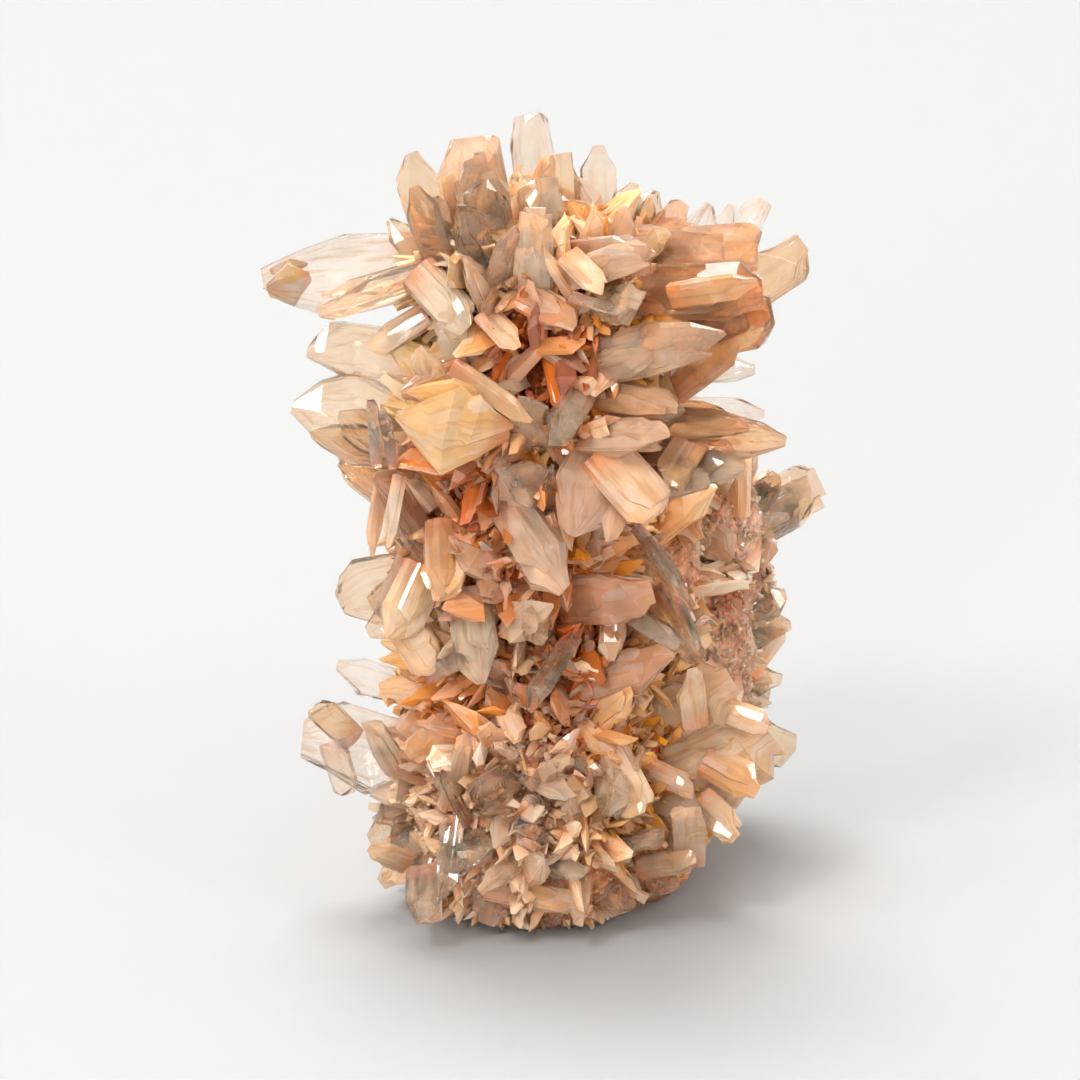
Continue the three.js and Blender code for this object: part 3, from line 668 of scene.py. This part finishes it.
# The right fan: broad orange blades of creedite that spread from the head of the column. They are
# rooted side by side in the mass, and smaller clear ones stand behind them.
RIGHT_FAN = [
    (16.6, 51.2, 6, 5.4, 50.6, 1, 5.2, 3, -20, 0.6, 0.72, ORANGE, "blunt"),
    (16.8, 48.4, 10, 5, 48.2, 4, 4.7, 2.8, 0, 0.5, 0.75, ORANGE, "blunt"),
    (17.8, 46.4, 7, 9, 44.2, 2, 4.4, 3, 15, 0.5, 0.75, ORANGE, "blunt"),
    (7.4, 47.2, 13, 4, 47.6, 4, 3.6, 3, 0, 0.5, 0.7, PEACH),
    (13.6, 44.9, 14, 2, 42.4, 5, 4, 2.6, 10, 0.1, 0.72, PEACH, "lens"),
    (8.2, 51.2, 10, 2.6, 50.8, 5, 3.4, 2.2, 0, 0.1, 0.7, ROSE),
    (18.9, 36.6, 5, 6, 37.8, 2, 4.8, 3, -15, 0.2, 0.78, PEACH, "lens"),
    (15.4, 34.6, 8, 6, 35, 4, 3.6, 2.4, 0, 0.3, 0.8, PEACH),
    (10.2, 39.2, 10, 3, 40.4, 5, 2.8, 2, 0, 0.3, 0.65, ORANGE),
    (8.3, 51.4, 10, 1, 49.4, 7, 2.7, 1.4, 10, 0.1, 0.6, ROSE, "lens"),
    (4.4, 48, 11, 1.5, 51, 8, 2.1, 1.1, -10, 0.1, 0.6, PEACH, "blade"),
    (2.3, 45.6, 9, -2.2, 48, 7, 2.7, 1.4, 0, 0.3, 0.45, BROWN, "blade"),
    (-2.3, 43.8, 10, -4.9, 46.6, 7, 2.2, 1.1, 0, 0.3, 0.5, ROSE, "blade"),
    (6.4, 46.2, 12, 1.8, 47.8, 9, 1, 0.5, 20, 0.2, 0.8, PALE, "blade"),
    (15.1, 44.3, 9, 10.3, 40.6, 6, 2.2, 1.3, -20, 0.4, 0.7, ORANGE, "blade"),
    (16.4, 48.8, 12, 9.7, 48, 8, 2.1, 1.3, 20, 0.3, 0.6, ORANGE, "blade"),
]
amber = crystal_material("orange_creedite", (1.0, 0.74, 0.26), 230.0, 0.15, 0.6)
blades("fan_crystals", RIGHT_FAN, amber, 23)
FAN_BEHIND = [
    (13.2, 55.4, -5, 9, 48.6, -3, 2.6, 2, 0, 0.3, 0.92, WATER),
    (14.9, 55.4, -7, 11, 48.6, -4, 2.2, 1.8, 0, 0.3, 0.92, WATER),
    (17.6, 55.8, -8, 12, 47.4, -4, 3.2, 2.2, 0, 0.4, 0.92, WATER),
    (20.7, 52.2, -6, 12, 45.8, -3, 4.2, 2.4, 0, 0.4, 0.9, HONEY),
    (16.6, 42.5, -2, 8, 42.6, -1, 2.8, 2, 0, 0.3, 0.92, WATER),
    (17.5, 38.9, -7, 9, 39.4, -4, 2.4, 1.8, 0, 0.3, 0.92, WATER),
]
blades("fan_crystals_behind", FAN_BEHIND, water, 24)

# The front: a yellow lozenge that shows its broad face, and pink to brown blades around and below
# it. They grew out of the middle of the column, and overlap at their roots.
FRONT = [
    (-11.8, 38.2, 12, -3, 37.0, 9.4, 6.9, 3.4, 0, 0.1, 0.5, HONEY, "lozenge"),
    (-2, 40, 12, -1, 35.6, 6, 3.4, 2.4, 0, 0.3, 0.7, PEACH),
    (0, 36.2, 13, 2.6, 40.2, 7, 2.6, 2, 0, 0.1, 0.75, PALE),
    (-3.8, 33.6, 12, 1, 33, 6, 3.4, 2.2, 0, 0.1, 0.7, ROSE),
    (9.6, 36.8, 12, 1.6, 36.8, 6, 3, 2.2, 0, 0.1, 0.6, ROSE),
    (2.6, 28.8, 12, 4.4, 36, 6, 6, 3.2, 0, 0.1, 0.65, ROSE, "lens"),
    (1.4, 24.8, 12, -3.2, 31.8, 6, 4.6, 2.6, 0, 0.3, 0.65, ROSE),
    (8.2, 24.6, 10, 1, 24, 5, 4, 3, 0, 0.5, 0.6, BROWN),
    (-8.3, 24.2, 10, -8.4, 30, 5, 3.2, 2.4, 0, 0.1, 0.65, ORANGE),
    (-12.2, 21.1, 8, -9.8, 27.6, 4, 4.2, 2.6, 0, 0.1, 0.7, ROSE),
    (11.6, 23.4, 4, 6.4, 29.4, 2, 2.2, 1.8, 0, 0.3, 0.85, PALE),
    (12.4, 19, 3, 8.4, 25, 2, 2.4, 1.8, 0, 0.3, 0.85, PALE),
    (10.8, 20.4, 8, 5.4, 24, 4, 1.8, 1.6, 0, 0.3, 0.8, PALE),
    (-1.2, 38.1, 12, -7.4, 42.4, 8, 1.8, 0.9, 0, 0.2, 0.65, HONEY, "blade"),
    (-11.4, 40.2, 9, -6.2, 42.2, 7, 2.4, 1.2, 0, 0.3, 0.5, BROWN, "blade"),
    (15.6, 34.6, 9, 11, 34.4, 5, 2.7, 1.6, -15, 0.3, 0.75, PALE, "lens"),
    (12.7, 33.8, 10, 8.2, 32.5, 7, 1.8, 0.9, 0, 0.5, 0.75, PALE, "blunt"),
    (9.4, 33.1, 10, 11.4, 36.3, 7, 2.7, 1.4, 10, 0.3, 0.7, HONEY, "blunt"),
    (8.7, 30.7, 11, 4.2, 35.8, 8, 4.2, 1.7, 0, 0.4, 0.5, ROSE, "blunt"),
    (-1.3, 31.4, 13, -4.2, 35.4, 9, 1.2, 0.8, 0, 0.4, 0.8, PALE, "blunt"),
    (0.4, 34.7, 12, -0.2, 32.6, 9, 0.6, 0.5, 0, 0.4, 0.85, PALE, "blade"),
    (-12.4, 20.8, 9, -9.8, 26.7, 6, 3.4, 1.7, 0, 0.1, 0.55, PEACH, "blade"),
    (-8.6, 24, 10, -6.8, 29.3, 6, 3.2, 1.6, 10, 0.1, 0.5, ORANGE, "blade"),
    (-5.2, 17.4, 11, -6.2, 25, 7, 3.5, 1.8, 0, 0.2, 0.7, PALE, "blade"),
    (0.7, 23.2, 12, -3.8, 21.8, 8, 3.4, 1.7, 0, 0.1, 0.65, PEACH, "lozenge"),
    (-9, 18.2, 9, -11.6, 22.1, 7, 2.9, 1.4, 0, 0.3, 0.6, PEACH, "blade"),
    (-6.5, 19.5, 11, -9.5, 17.9, 8, 1.4, 0.8, 0, 0.6, 0.8, PALE, "blunt"),
    (-14, 27.5, 7, -13, 33.8, 4, 1.2, 0.7, 0, 0.3, 0.6, ROSE, "blade"),
    (-12.7, 28.2, 8, -11.6, 33.9, 5, 1.1, 0.7, 10, 0.3, 0.6, PALE, "blade"),
    (-13.8, 39.8, 8, -13.5, 34.7, 5, 1.1, 0.9, 0, 0.6, 0.9, WATER, "blunt"),
    (-12.9, 39, 9, -12.1, 34.6, 6, 1, 0.8, 0, 0.6, 0.9, WATER, "blunt"),
    (10.5, 20.5, 9, 6.3, 23, 6, 1.6, 1.1, 0, 0.5, 0.75, PALE, "blunt"),
    (11.4, 23.5, 9, 7.8, 28.8, 5, 1, 0.8, 0, 0.3, 0.85, PALE, "blade"),
    (12.4, 19, 8, 10.3, 24, 5, 1.1, 0.9, 0, 0.4, 0.85, PALE, "blade"),
    (6.8, 16.8, 10, 3.1, 13.6, 6, 2.7, 1.4, 0, 0.3, 0.5, ORANGE, "blade"),
    (5, 19.2, 8, 5.2, 23, 6, 2.1, 1.3, 0, 0.3, 0.5, BROWN, "blade"),
    (-10.3, 43.8, 9, -7.6, 40, 7, 2.1, 1.1, 10, 0.3, 0.55, PEACH, "blade"),
]
rose = crystal_material("rose_creedite", (1.0, 0.75, 0.38), 260.0, 0.15, 0.5)
blades("front_crystals", FRONT, rose, 25)

# The base: laths and chunky pale crystals in front, the rough slab on the right, and short blades
# that turn down around the foot. All of them grew outwards from the broad lump at the bottom.
BASE = [
    (-1.6, 15.4, 14, 2, 21, 7, 1.8, 1.6, 0, 0.3, 0.85, PALE),
    (-1, 22.4, 12, -0.6, 22, 5, 3.4, 3, 0, 0.3, 0.7, PEACH),
    (10.2, 19.2, 10, 3, 17.4, 6, 3.4, 2.4, 0, 0.1, 0.65, BROWN),
    (-4.6, 10.4, 15, -3.4, 7, 7, 4.2, 3.2, 0, 0.5, 0.85, PALE),
    (-7, 1.8, 12.4, -5, 8, 7, 5.2, 2.8, 0, 0.1, 0.85, PALE),
    (17.6, 13.6, 3, 8, 8.4, 1, 8.2, 4.4, 20, 0.7, 0.55, PEACH),
    (14.8, 17.4, 5, 8.6, 14, 2, 5, 3, 0, 0.5, 0.6, PEACH),
    (20.6, 12.4, -13, 12, 12.8, -9, 4.4, 2.6, 0, 0.3, 0.9, PALE),
    (6.4, 8.4, 14, 3.6, 9, 7, 4, 2.6, 0, 0.3, 0.7, PEACH),
    (12.6, 6, 7, 7, 8.6, 4, 4, 2.8, 0, 0.3, 0.7, PEACH),
    (-9.7, -0.8, 7, -7, 5, 5, 4, 2.6, 0, 0.3, 0.85, HONEY),
    (-5.2, -1.8, 9.4, -3.6, 4, 5, 4.4, 2.8, 0, 0.3, 0.75, ROSE),
    (0.6, -2, 9.4, 0.4, 4, 5, 4.2, 2.8, 25, 0.3, 0.8, PALE),
    (5.6, -1.4, 9, 3.4, 4, 4, 4.2, 2.6, 0, 0.3, 0.8, PEACH),
    (10.6, 0.8, 6, 6, 5, 3, 4.2, 2.8, -20, 0.3, 0.8, PALE),
    (-13.6, 1.4, 5, -8, 5.6, 3, 4, 2.6, 20, 0.3, 0.85, PALE),
    (-6.2, 13.4, 12, -8.1, 7.5, 9, 1.6, 1.1, 0, 0.4, 0.7, PEACH, "blade"),
    (-8.3, 10.6, 14, -6.3, 6.2, 10, 1, 0.7, 0, 0.3, 0.85, PALE, "blade"),
    (-11, 11.5, 10, -8.4, 14.2, 8, 2.4, 1.2, 0, 0.3, 0.6, ORANGE, "blade"),
    (-9.8, -1.7, 13, -9.8, 2.6, 9, 3, 1.5, 0, 0.15, 0.8, PALE, "blade"),
    (-14.2, 4.3, 9, -11.1, 3, 7, 1.8, 1.1, 0, 0.4, 0.6, PEACH, "blade"),
    (-8.1, 0.2, 13, -7.3, 6.7, 9, 2.1, 1.1, 0, 0.3, 0.8, PALE, "blade"),
    (-2.5, 6.6, 15, 0.9, 4.3, 10, 1.2, 1, 0, 0.5, 0.92, WATER, "blunt"),
    (-2.3, 5.3, 15, 1, 3, 10, 1, 0.8, 20, 0.5, 0.92, WATER, "blunt"),
    (-2, 10.1, 14, 0.9, 7.8, 9, 1.2, 1, 0, 0.5, 0.92, WATER, "blunt"),
    (-1.5, 8.6, 14, 1.2, 6.6, 9, 1, 0.8, 0, 0.5, 0.92, WATER, "blunt"),
    (-5.5, 1, 14, -1.4, 4, 10, 1.9, 1.3, 0, 0.4, 0.7, PEACH, "blade"),
    (7.4, 7, 12, 4.7, 12.2, 8, 3.2, 1.3, 0, 0.4, 0.5, PEACH, "blunt"),
    (6, 8.6, 13, 2.5, 6.1, 9, 1.6, 1.3, 0, 0.5, 0.75, HONEY, "blunt"),
    (9.3, 5.3, 12, 3.9, 4.3, 8, 1.6, 1.3, 0, 0.5, 0.8, PALE, "blunt"),
    (11.4, 7.5, 9, 11.4, 2.9, 6, 2.7, 1.4, 10, 0.5, 0.6, PEACH, "blunt"),
    (11.9, 3.2, 9, 7.3, 2.6, 7, 1.8, 1.1, 0, 0.5, 0.7, HONEY, "blunt"),
    (3.1, 2.2, 12, -1.2, 4, 9, 2.2, 1.1, 0, 0.4, 0.7, PALE, "blade"),
    (2.8, -0.3, 12, -4.9, 1, 9, 2.1, 1.3, 0, 0.4, 0.65, ORANGE, "blade"),
    (4.4, 10.2, 12, 0.2, 12.3, 8, 1.1, 0.9, 0, 0.4, 0.85, PALE, "blunt"),
    (11.6, 8.8, 9, 8.1, 10.4, 7, 1.8, 1.3, 0, 0.5, 0.65, ROSE, "blunt"),
    (11.3, 18.6, 8, 11.8, 13.9, 6, 2.2, 1.1, 0, 0.4, 0.55, PEACH, "blade"),
    (17.7, 13.9, 5, 12.7, 15.7, 3, 2.1, 1.1, 20, 0.5, 0.55, PEACH, "blunt"),
    (17, 8.8, 6, 12.7, 11.2, 4, 2.7, 1.4, -10, 0.4, 0.55, ORANGE, "blade"),
    (15.3, 5, 7, 12.2, 8, 5, 2.7, 1.4, 10, 0.4, 0.55, PEACH, "blade"),
    (-18.5, 15.5, 2, -15.6, 12.6, 1, 2.1, 1.5, 0, 0.6, 0.9, PALE, "blunt"),
    (-16.1, 8.3, 3, -17.4, 12.5, 1, 2.4, 1.7, 20, 0.5, 0.9, WATER, "blunt"),
    (-14.3, 14.4, 8, -11.9, 10.4, 6, 2.1, 1.1, 0, 0.3, 0.7, PALE, "blade"),
    (5.2, 11.8, 9, 1.8, 14.7, 7, 2.2, 1.1, 0, 0.3, 0.45, ORANGE, "blade"),
    (-2.2, 12.8, 11, -3.8, 16, 8, 2.1, 1.3, 0, 0.3, 0.45, ROSE, "blade"),
]
blades("base_crystals", BASE, peach, 26)

# The lobe behind on the right: greyish pink creedite that grew up beside the column, with pale
# blades that show past it.
LOBE = [
    (22.4, 33.6, -19, 15, 29.4, -15, 4.2, 2.6, 0, 0.6, 0.85, PALE),
    (18.6, 34.4, -16, 14, 28, -15, 3.4, 2.2, 0, 0.3, 0.85, PALE),
    (19.7, 31, -14, 13.6, 28, -14, 3, 2.2, 0, 0.3, 0.85, PALE),
    (19.6, 24.4, -15, 13, 23, -14, 3, 2, 0, 0.3, 0.85, PALE),
    (20, 21.8, -15, 13, 20, -13, 2.8, 2, 0, 0.3, 0.85, PALE),
    (19.2, 17, -15, 12, 17.4, -12, 3, 2, 0, 0.3, 0.85, PALE),
    (15, 32.6, -24, 14, 28, -17, 3.4, 2.2, 0, 0.3, 0.8, ROSE),
    (10, 28, -22, 13, 25, -15, 3.6, 2.4, 0, 0.3, 0.8, ROSE),
    (14, 20, -24, 13, 19.4, -15, 3.6, 2.4, 0, 0.3, 0.8, ROSE),
    (17, 19.8, -12, 11.8, 18.6, -13, 1.8, 1.3, 0, 0.5, 0.75, PALE, "blunt"),
    (16.4, 17.3, -12, 11.4, 16.6, -13, 1.6, 1.1, 10, 0.5, 0.75, ROSE, "blunt"),
    (18.6, 27.5, -13, 14.3, 30.4, -15, 3.5, 1.8, 0, 0.4, 0.6, ROSE, "blunt"),
    (15.1, 27.2, -10, 11.4, 30.7, -13, 3, 1.5, 0, 0.4, 0.55, ROSE, "blade"),
    (15.8, 23.2, -11, 11.3, 24.8, -13, 2.7, 1.4, 0, 0.4, 0.5, BROWN, "blade"),
    (12.2, 28.8, -4, 9.7, 32, -8, 2.7, 1.4, 0, 0.4, 0.45, BROWN, "blade"),
    (16.9, 32, -13, 12.9, 33.1, -15, 2.7, 1.4, 10, 0.4, 0.7, PALE, "blade"),
    (18.5, 23.4, -14, 15.6, 24.3, -15, 1.9, 1.1, 0, 0.4, 0.8, PALE, "blunt"),
]
smoky = crystal_material("smoky_rose_creedite", (1.0, 0.80, 0.62), 160.0, 0.15, 0.3)
blades("lobe_crystals", LOBE, smoky, 27)

# The middle-sized crystals: short blades that cover the mass in radiating sprays, each spray from
# one spot. They leave the hollows open and stay behind the large crystals in front.
EDGE_HEIGHT = [-2.6, -1.7, -0.4, 1.6, 3.2, 5, 7, 8.6, 10.2, 12.2, 14, 16.4, 20, 22, 24.4, 27, 29.4]
EDGE_HEIGHT += [32, 34, 36, 38, 40.4, 42, 44, 46, 48, 50, 51.6, 53.2, 55, 56.6, 58.4, 60.2, 62.6]
EDGE_LEFT = [-4.6, -9.5, -11, -12.6, -14, -15, -15.8, -17.2, -19, -19.6, -18.8, -16.6, -15.6, -16.4]
EDGE_LEFT += [-16.4, -15.4, -14.3, -15.2, -17, -18, -19, -20, -16.8, -18.8, -18.4, -21.4, -21.6, -18.6]
EDGE_LEFT += [-15.6, -12, -12, -11.4, -8.4, -3]
EDGE_RIGHT = [3.5, 5.5, 7.2, 11.4, 12.6, 13.6, 15, 16.4, 17.6, 19, 18.6, 18.8, 18.4, 19.8, 19.6, 18.4]
EDGE_RIGHT += [19.6, 21.8, 21.8, 18.8, 18.6, 16.4, 16, 15.8, 17.4, 18.6, 19.8, 20.6, 18.6, 15]
EDGE_RIGHT += [9, 5, 3.6, -0.6]
LARGE = CROWN + LEFT_SIDE + RIGHT_FAN + FAN_BEHIND + FRONT + BASE + LOBE
LARGE = np.array([row[:7] for row in LARGE], float)


def inside_edge(places, margin):
    """True where a place, as seen from the front, is inside the specimen's outline by the margin."""
    view = in_view(places)
    left = np.interp(view[:, 1], EDGE_HEIGHT, EDGE_LEFT)
    right = np.interp(view[:, 1], EDGE_HEIGHT, EDGE_RIGHT)
    level = (view[:, 1] > EDGE_HEIGHT[0]) & (view[:, 1] < EDGE_HEIGHT[-1])
    return level & (view[:, 0] > left + margin) & (view[:, 0] < right - margin)


def hides_large(places, allowance):
    """True where a place would stand in front of a large crystal, as seen from the front."""
    view = in_view(places)
    hides = np.zeros(len(view), bool)
    for share in (0.55, 0.75, 0.92):
        spot = LARGE[:, 3:6] + (LARGE[:, :3] - LARGE[:, 3:6]) * share
        gap = np.linalg.norm(view[:, None, :2] - spot[None, :, :2], axis=2)
        ahead = view[:, None, 2] > spot[None, :, 2] - allowance
        hides |= ((gap < LARGE[:, 6] * 0.42) & ahead).any(1)
    return hides


def on_mass(count, rng):
    """Random spots on the lumps' surface that no other lump covers: place and outward direction."""
    area = (LUMP_SIZE**2).sum(1)
    which = rng.choice(len(LUMPS), count, p=area / area.sum())
    way = rng.normal(size=(count, 3))
    way /= np.linalg.norm(way, axis=1, keepdims=True)
    spot = LUMP_MIDDLE[which] + way * LUMP_SIZE[which]
    out = way / LUMP_SIZE[which]
    out /= np.linalg.norm(out, axis=1, keepdims=True)
    level = np.linalg.norm((spot[:, None] - LUMP_MIDDLE[None]) / LUMP_SIZE[None], axis=2)
    level[np.arange(count), which] = 9
    bare = (level.min(1) > 0.97) & (spot[:, 2] > 0.4 * MM)
    return spot[bare], out[bare]


def sprays(spot, out, rng, centres, spread, unruly):
    """Directions that radiate: the nearest centre's own way plus the step away from that centre."""
    pick = rng.choice(len(spot), centres, replace=False)
    own = out[pick] + rng.normal(scale=0.45, size=(centres, 3))
    gap = np.linalg.norm(spot[:, None] - spot[pick][None], axis=2)
    near = gap.argmin(1)
    way = own[near] + (spot - spot[pick][near]) / spread + 0.35 * out
    way = way / np.linalg.norm(way, axis=1, keepdims=True)
    way += rng.normal(scale=unruly, size=way.shape)
    way /= np.linalg.norm(way, axis=1, keepdims=True)
    inward = (way * out).sum(1) < 0.15
    way[inward] = out[inward]
    return way


def crystals_on_mass(
    name, material, seed, tries, most, long, wide, flatness, spread, unruly, gap, stations, place=None
):
    """A piece of crystals set on the mass in sprays, at most as many as `most` out of `tries` spots.

    long and wide are their least and greatest sizes in millimetres, flatness the least and greatest
    thickness as a share of the width, spread how far a spray opens, unruly how much each strays
    from its spray, and gap how far inside the outline they end."""
    rng = np.random.default_rng(seed)
    spot, out = on_mass(tries, rng)
    if place is not None:
        there = place(spot)
        spot, out = spot[there], out[there]
    way = sprays(spot, out, rng, max(len(spot) // 22, 12), spread * MM, unruly)
    pick = rng.uniform(0, 1, len(spot)) ** 1.6
    reach = (long[0] + (long[1] - long[0]) * pick) * MM
    tips = spot + way * reach[:, None]
    roots = spot - way * long[0] * 0.8 * MM
    keep = inside_edge(tips, gap) & (tips[:, 2] > 0.1 * MM) & (roots[:, 2] > 0.1 * MM)
    keep &= ~hides_large(tips, -0.4) & ~hides_large(spot + way * reach[:, None] * 0.5, -0.4)
    keep &= hollowness(tips) < rng.uniform(0.25, 0.7, len(tips))
    tips, roots, pick = tips[keep][:most], roots[keep][:most], pick[keep][:most]
    count = len(tips)
    across = (wide[0] + (wide[1] - wide[0]) * np.clip(pick + rng.normal(scale=0.2, size=count), 0, 1)) * MM
    deep = across * rng.uniform(flatness[0], flatness[1], count)
    turn = rng.uniform(0, 180, count)
    edge = rng.uniform(0.1, 0.7, count)
    places, share, lengthwise = crystals(
        tips, roots, across, deep, turn, edge, rng, PLAIN_SECTION, stations, 0.14, 0.8
    )
    # Towards the root the tint runs to the iron stain with painted shade of the gaps between crystals.
    fade = np.clip(share * 1.7 - 0.5, 0, 1)[..., None]
    root_stain_and_shade_tint = zone_colour(roots) * 0.25 + ROOT_STAIN_AND_SHADE * 0.75
    tint = zone_colour(tips)[:, None] * fade + root_stain_and_shade_tint[:, None] * (1 - fade)
    pale = rng.uniform(0, 1, (count, 1, 1)) ** 3 * 0.8
    tint = tint * (1 - pale) + PALE * pale
    tint = np.clip(tint + rng.normal(size=(count, 1, 1)) * np.array([0.0, 0.05, 0.08]), 0.03, 0.98)
    clear = np.clip(rng.uniform(-0.35, 0.7, count), 0, 1)[:, None] * (0.5 + 0.5 * fade[..., 0])
    return piece_of(name, places, ring_faces(len(stations), 6), material, tint, clear, lengthwise)


def faces_viewer(spots):
    """True in front of the column's middle."""
    return in_view(spots)[:, 2] > 0


def faces_away(spots):
    """True behind the column's middle."""
    return ~faces_viewer(spots)


fine = small_material("fine_creedite", (1.0, 0.75, 0.38), 380.0)
crystals_on_mass(
    "broad_blades",
    peach,
    seed=31,
    tries=4200,
    most=1000,
    long=(2.0, 5.6),
    wide=(1.2, 3.4),
    flatness=(0.28, 0.5),
    spread=2.6,
    unruly=0.35,
    gap=0.3,
    stations=SHORT_STATIONS,
)
crystals_on_mass(
    "middle_blades",
    fine,
    seed=32,
    tries=9000,
    most=3600,
    long=(1.4, 4.6),
    wide=(0.5, 1.7),
    flatness=(0.35, 0.7),
    spread=2.2,
    unruly=0.28,
    gap=0.3,
    stations=SHORT_STATIONS,
)

# The small crystals: thin splinters and stubs of the same creedite, which grew on the mass and
# fill the gaps between the blades. One piece faces the viewer and one faces away.
SMALL_SIDES = (("small_blades_front", 33, faces_viewer), ("small_blades_back", 34, faces_away))
for name, seed, place in SMALL_SIDES:
    crystals_on_mass(
        name,
        fine,
        seed,
        tries=26000,
        most=6000,
        long=(0.6, 2.4),
        wide=(0.3, 0.95),
        flatness=(0.45, 0.9),
        spread=1.2,
        unruly=0.3,
        gap=0.2,
        stations=TINY_STATIONS,
        place=place,
    )

# The druse: sugary grains of creedite and rust, a quarter to half a millimetre across. They are
# grown on the mass and partly sunk in it, and follow it into the hollows, where their colour runs to
# rust with painted shade.
GRAIN_SPOTS = 15600
GRAIN_SIZE = (0.10, 0.30)
GRAIN_HOLLOW_DEPTH = 1.7
GRAIN_RUST_AND_SHADE = light_share(178, 96, 45)
GRAIN_RINGS = np.array([(-1.0, 0.25), (0.0, 1.0), (1.0, 0.25)])
chance = np.random.default_rng(41)
spot, out = on_mass(GRAIN_SPOTS, chance)
lift = chance.uniform(-0.3, 0.5, len(spot)) - hollowness(spot) * GRAIN_HOLLOW_DEPTH
spot = spot + out * lift[:, None] * MM
keep = inside_edge(spot, 0.2)
spot, out = spot[keep], out[keep]
size = chance.uniform(*GRAIN_SIZE, len(spot)) * MM
turned = chance.normal(size=(len(spot), 3, 3))
turned, _ = np.linalg.qr(turned)
corner = np.array([(math.cos(a), math.sin(a)) for a in np.arange(4) * math.pi / 2])
shape = np.concatenate([np.c_[corner * width, np.full(4, level)] for level, width in GRAIN_RINGS])
shape = shape[None] * chance.uniform(0.7, 1.3, (len(spot), 1, 3))
places = spot[:, None] + np.einsum("nij,nkj->nki", turned, shape) * size[:, None, None]
flip = np.linalg.det(turned) < 0
places[flip] = places[flip][:, [2, 1, 0, 3, 6, 5, 4, 7, 10, 9, 8, 11]]
hollow = hollowness(spot)[:, None]
# In the hollows the grains run to rust with painted shade.
tint = zone_colour(spot) * (1 - hollow) + GRAIN_RUST_AND_SHADE * hollow
pale = chance.uniform(0, 1, (len(spot), 1)) ** 2 * 0.7
tint = tint * (1 - pale) + PALE * pale
druse = small_material("sugary_druse", (1.0, 0.78, 0.56), 120.0)
piece_of("druse_grains", places, ring_faces(3, 4), druse, tint[:, None], 0.35)
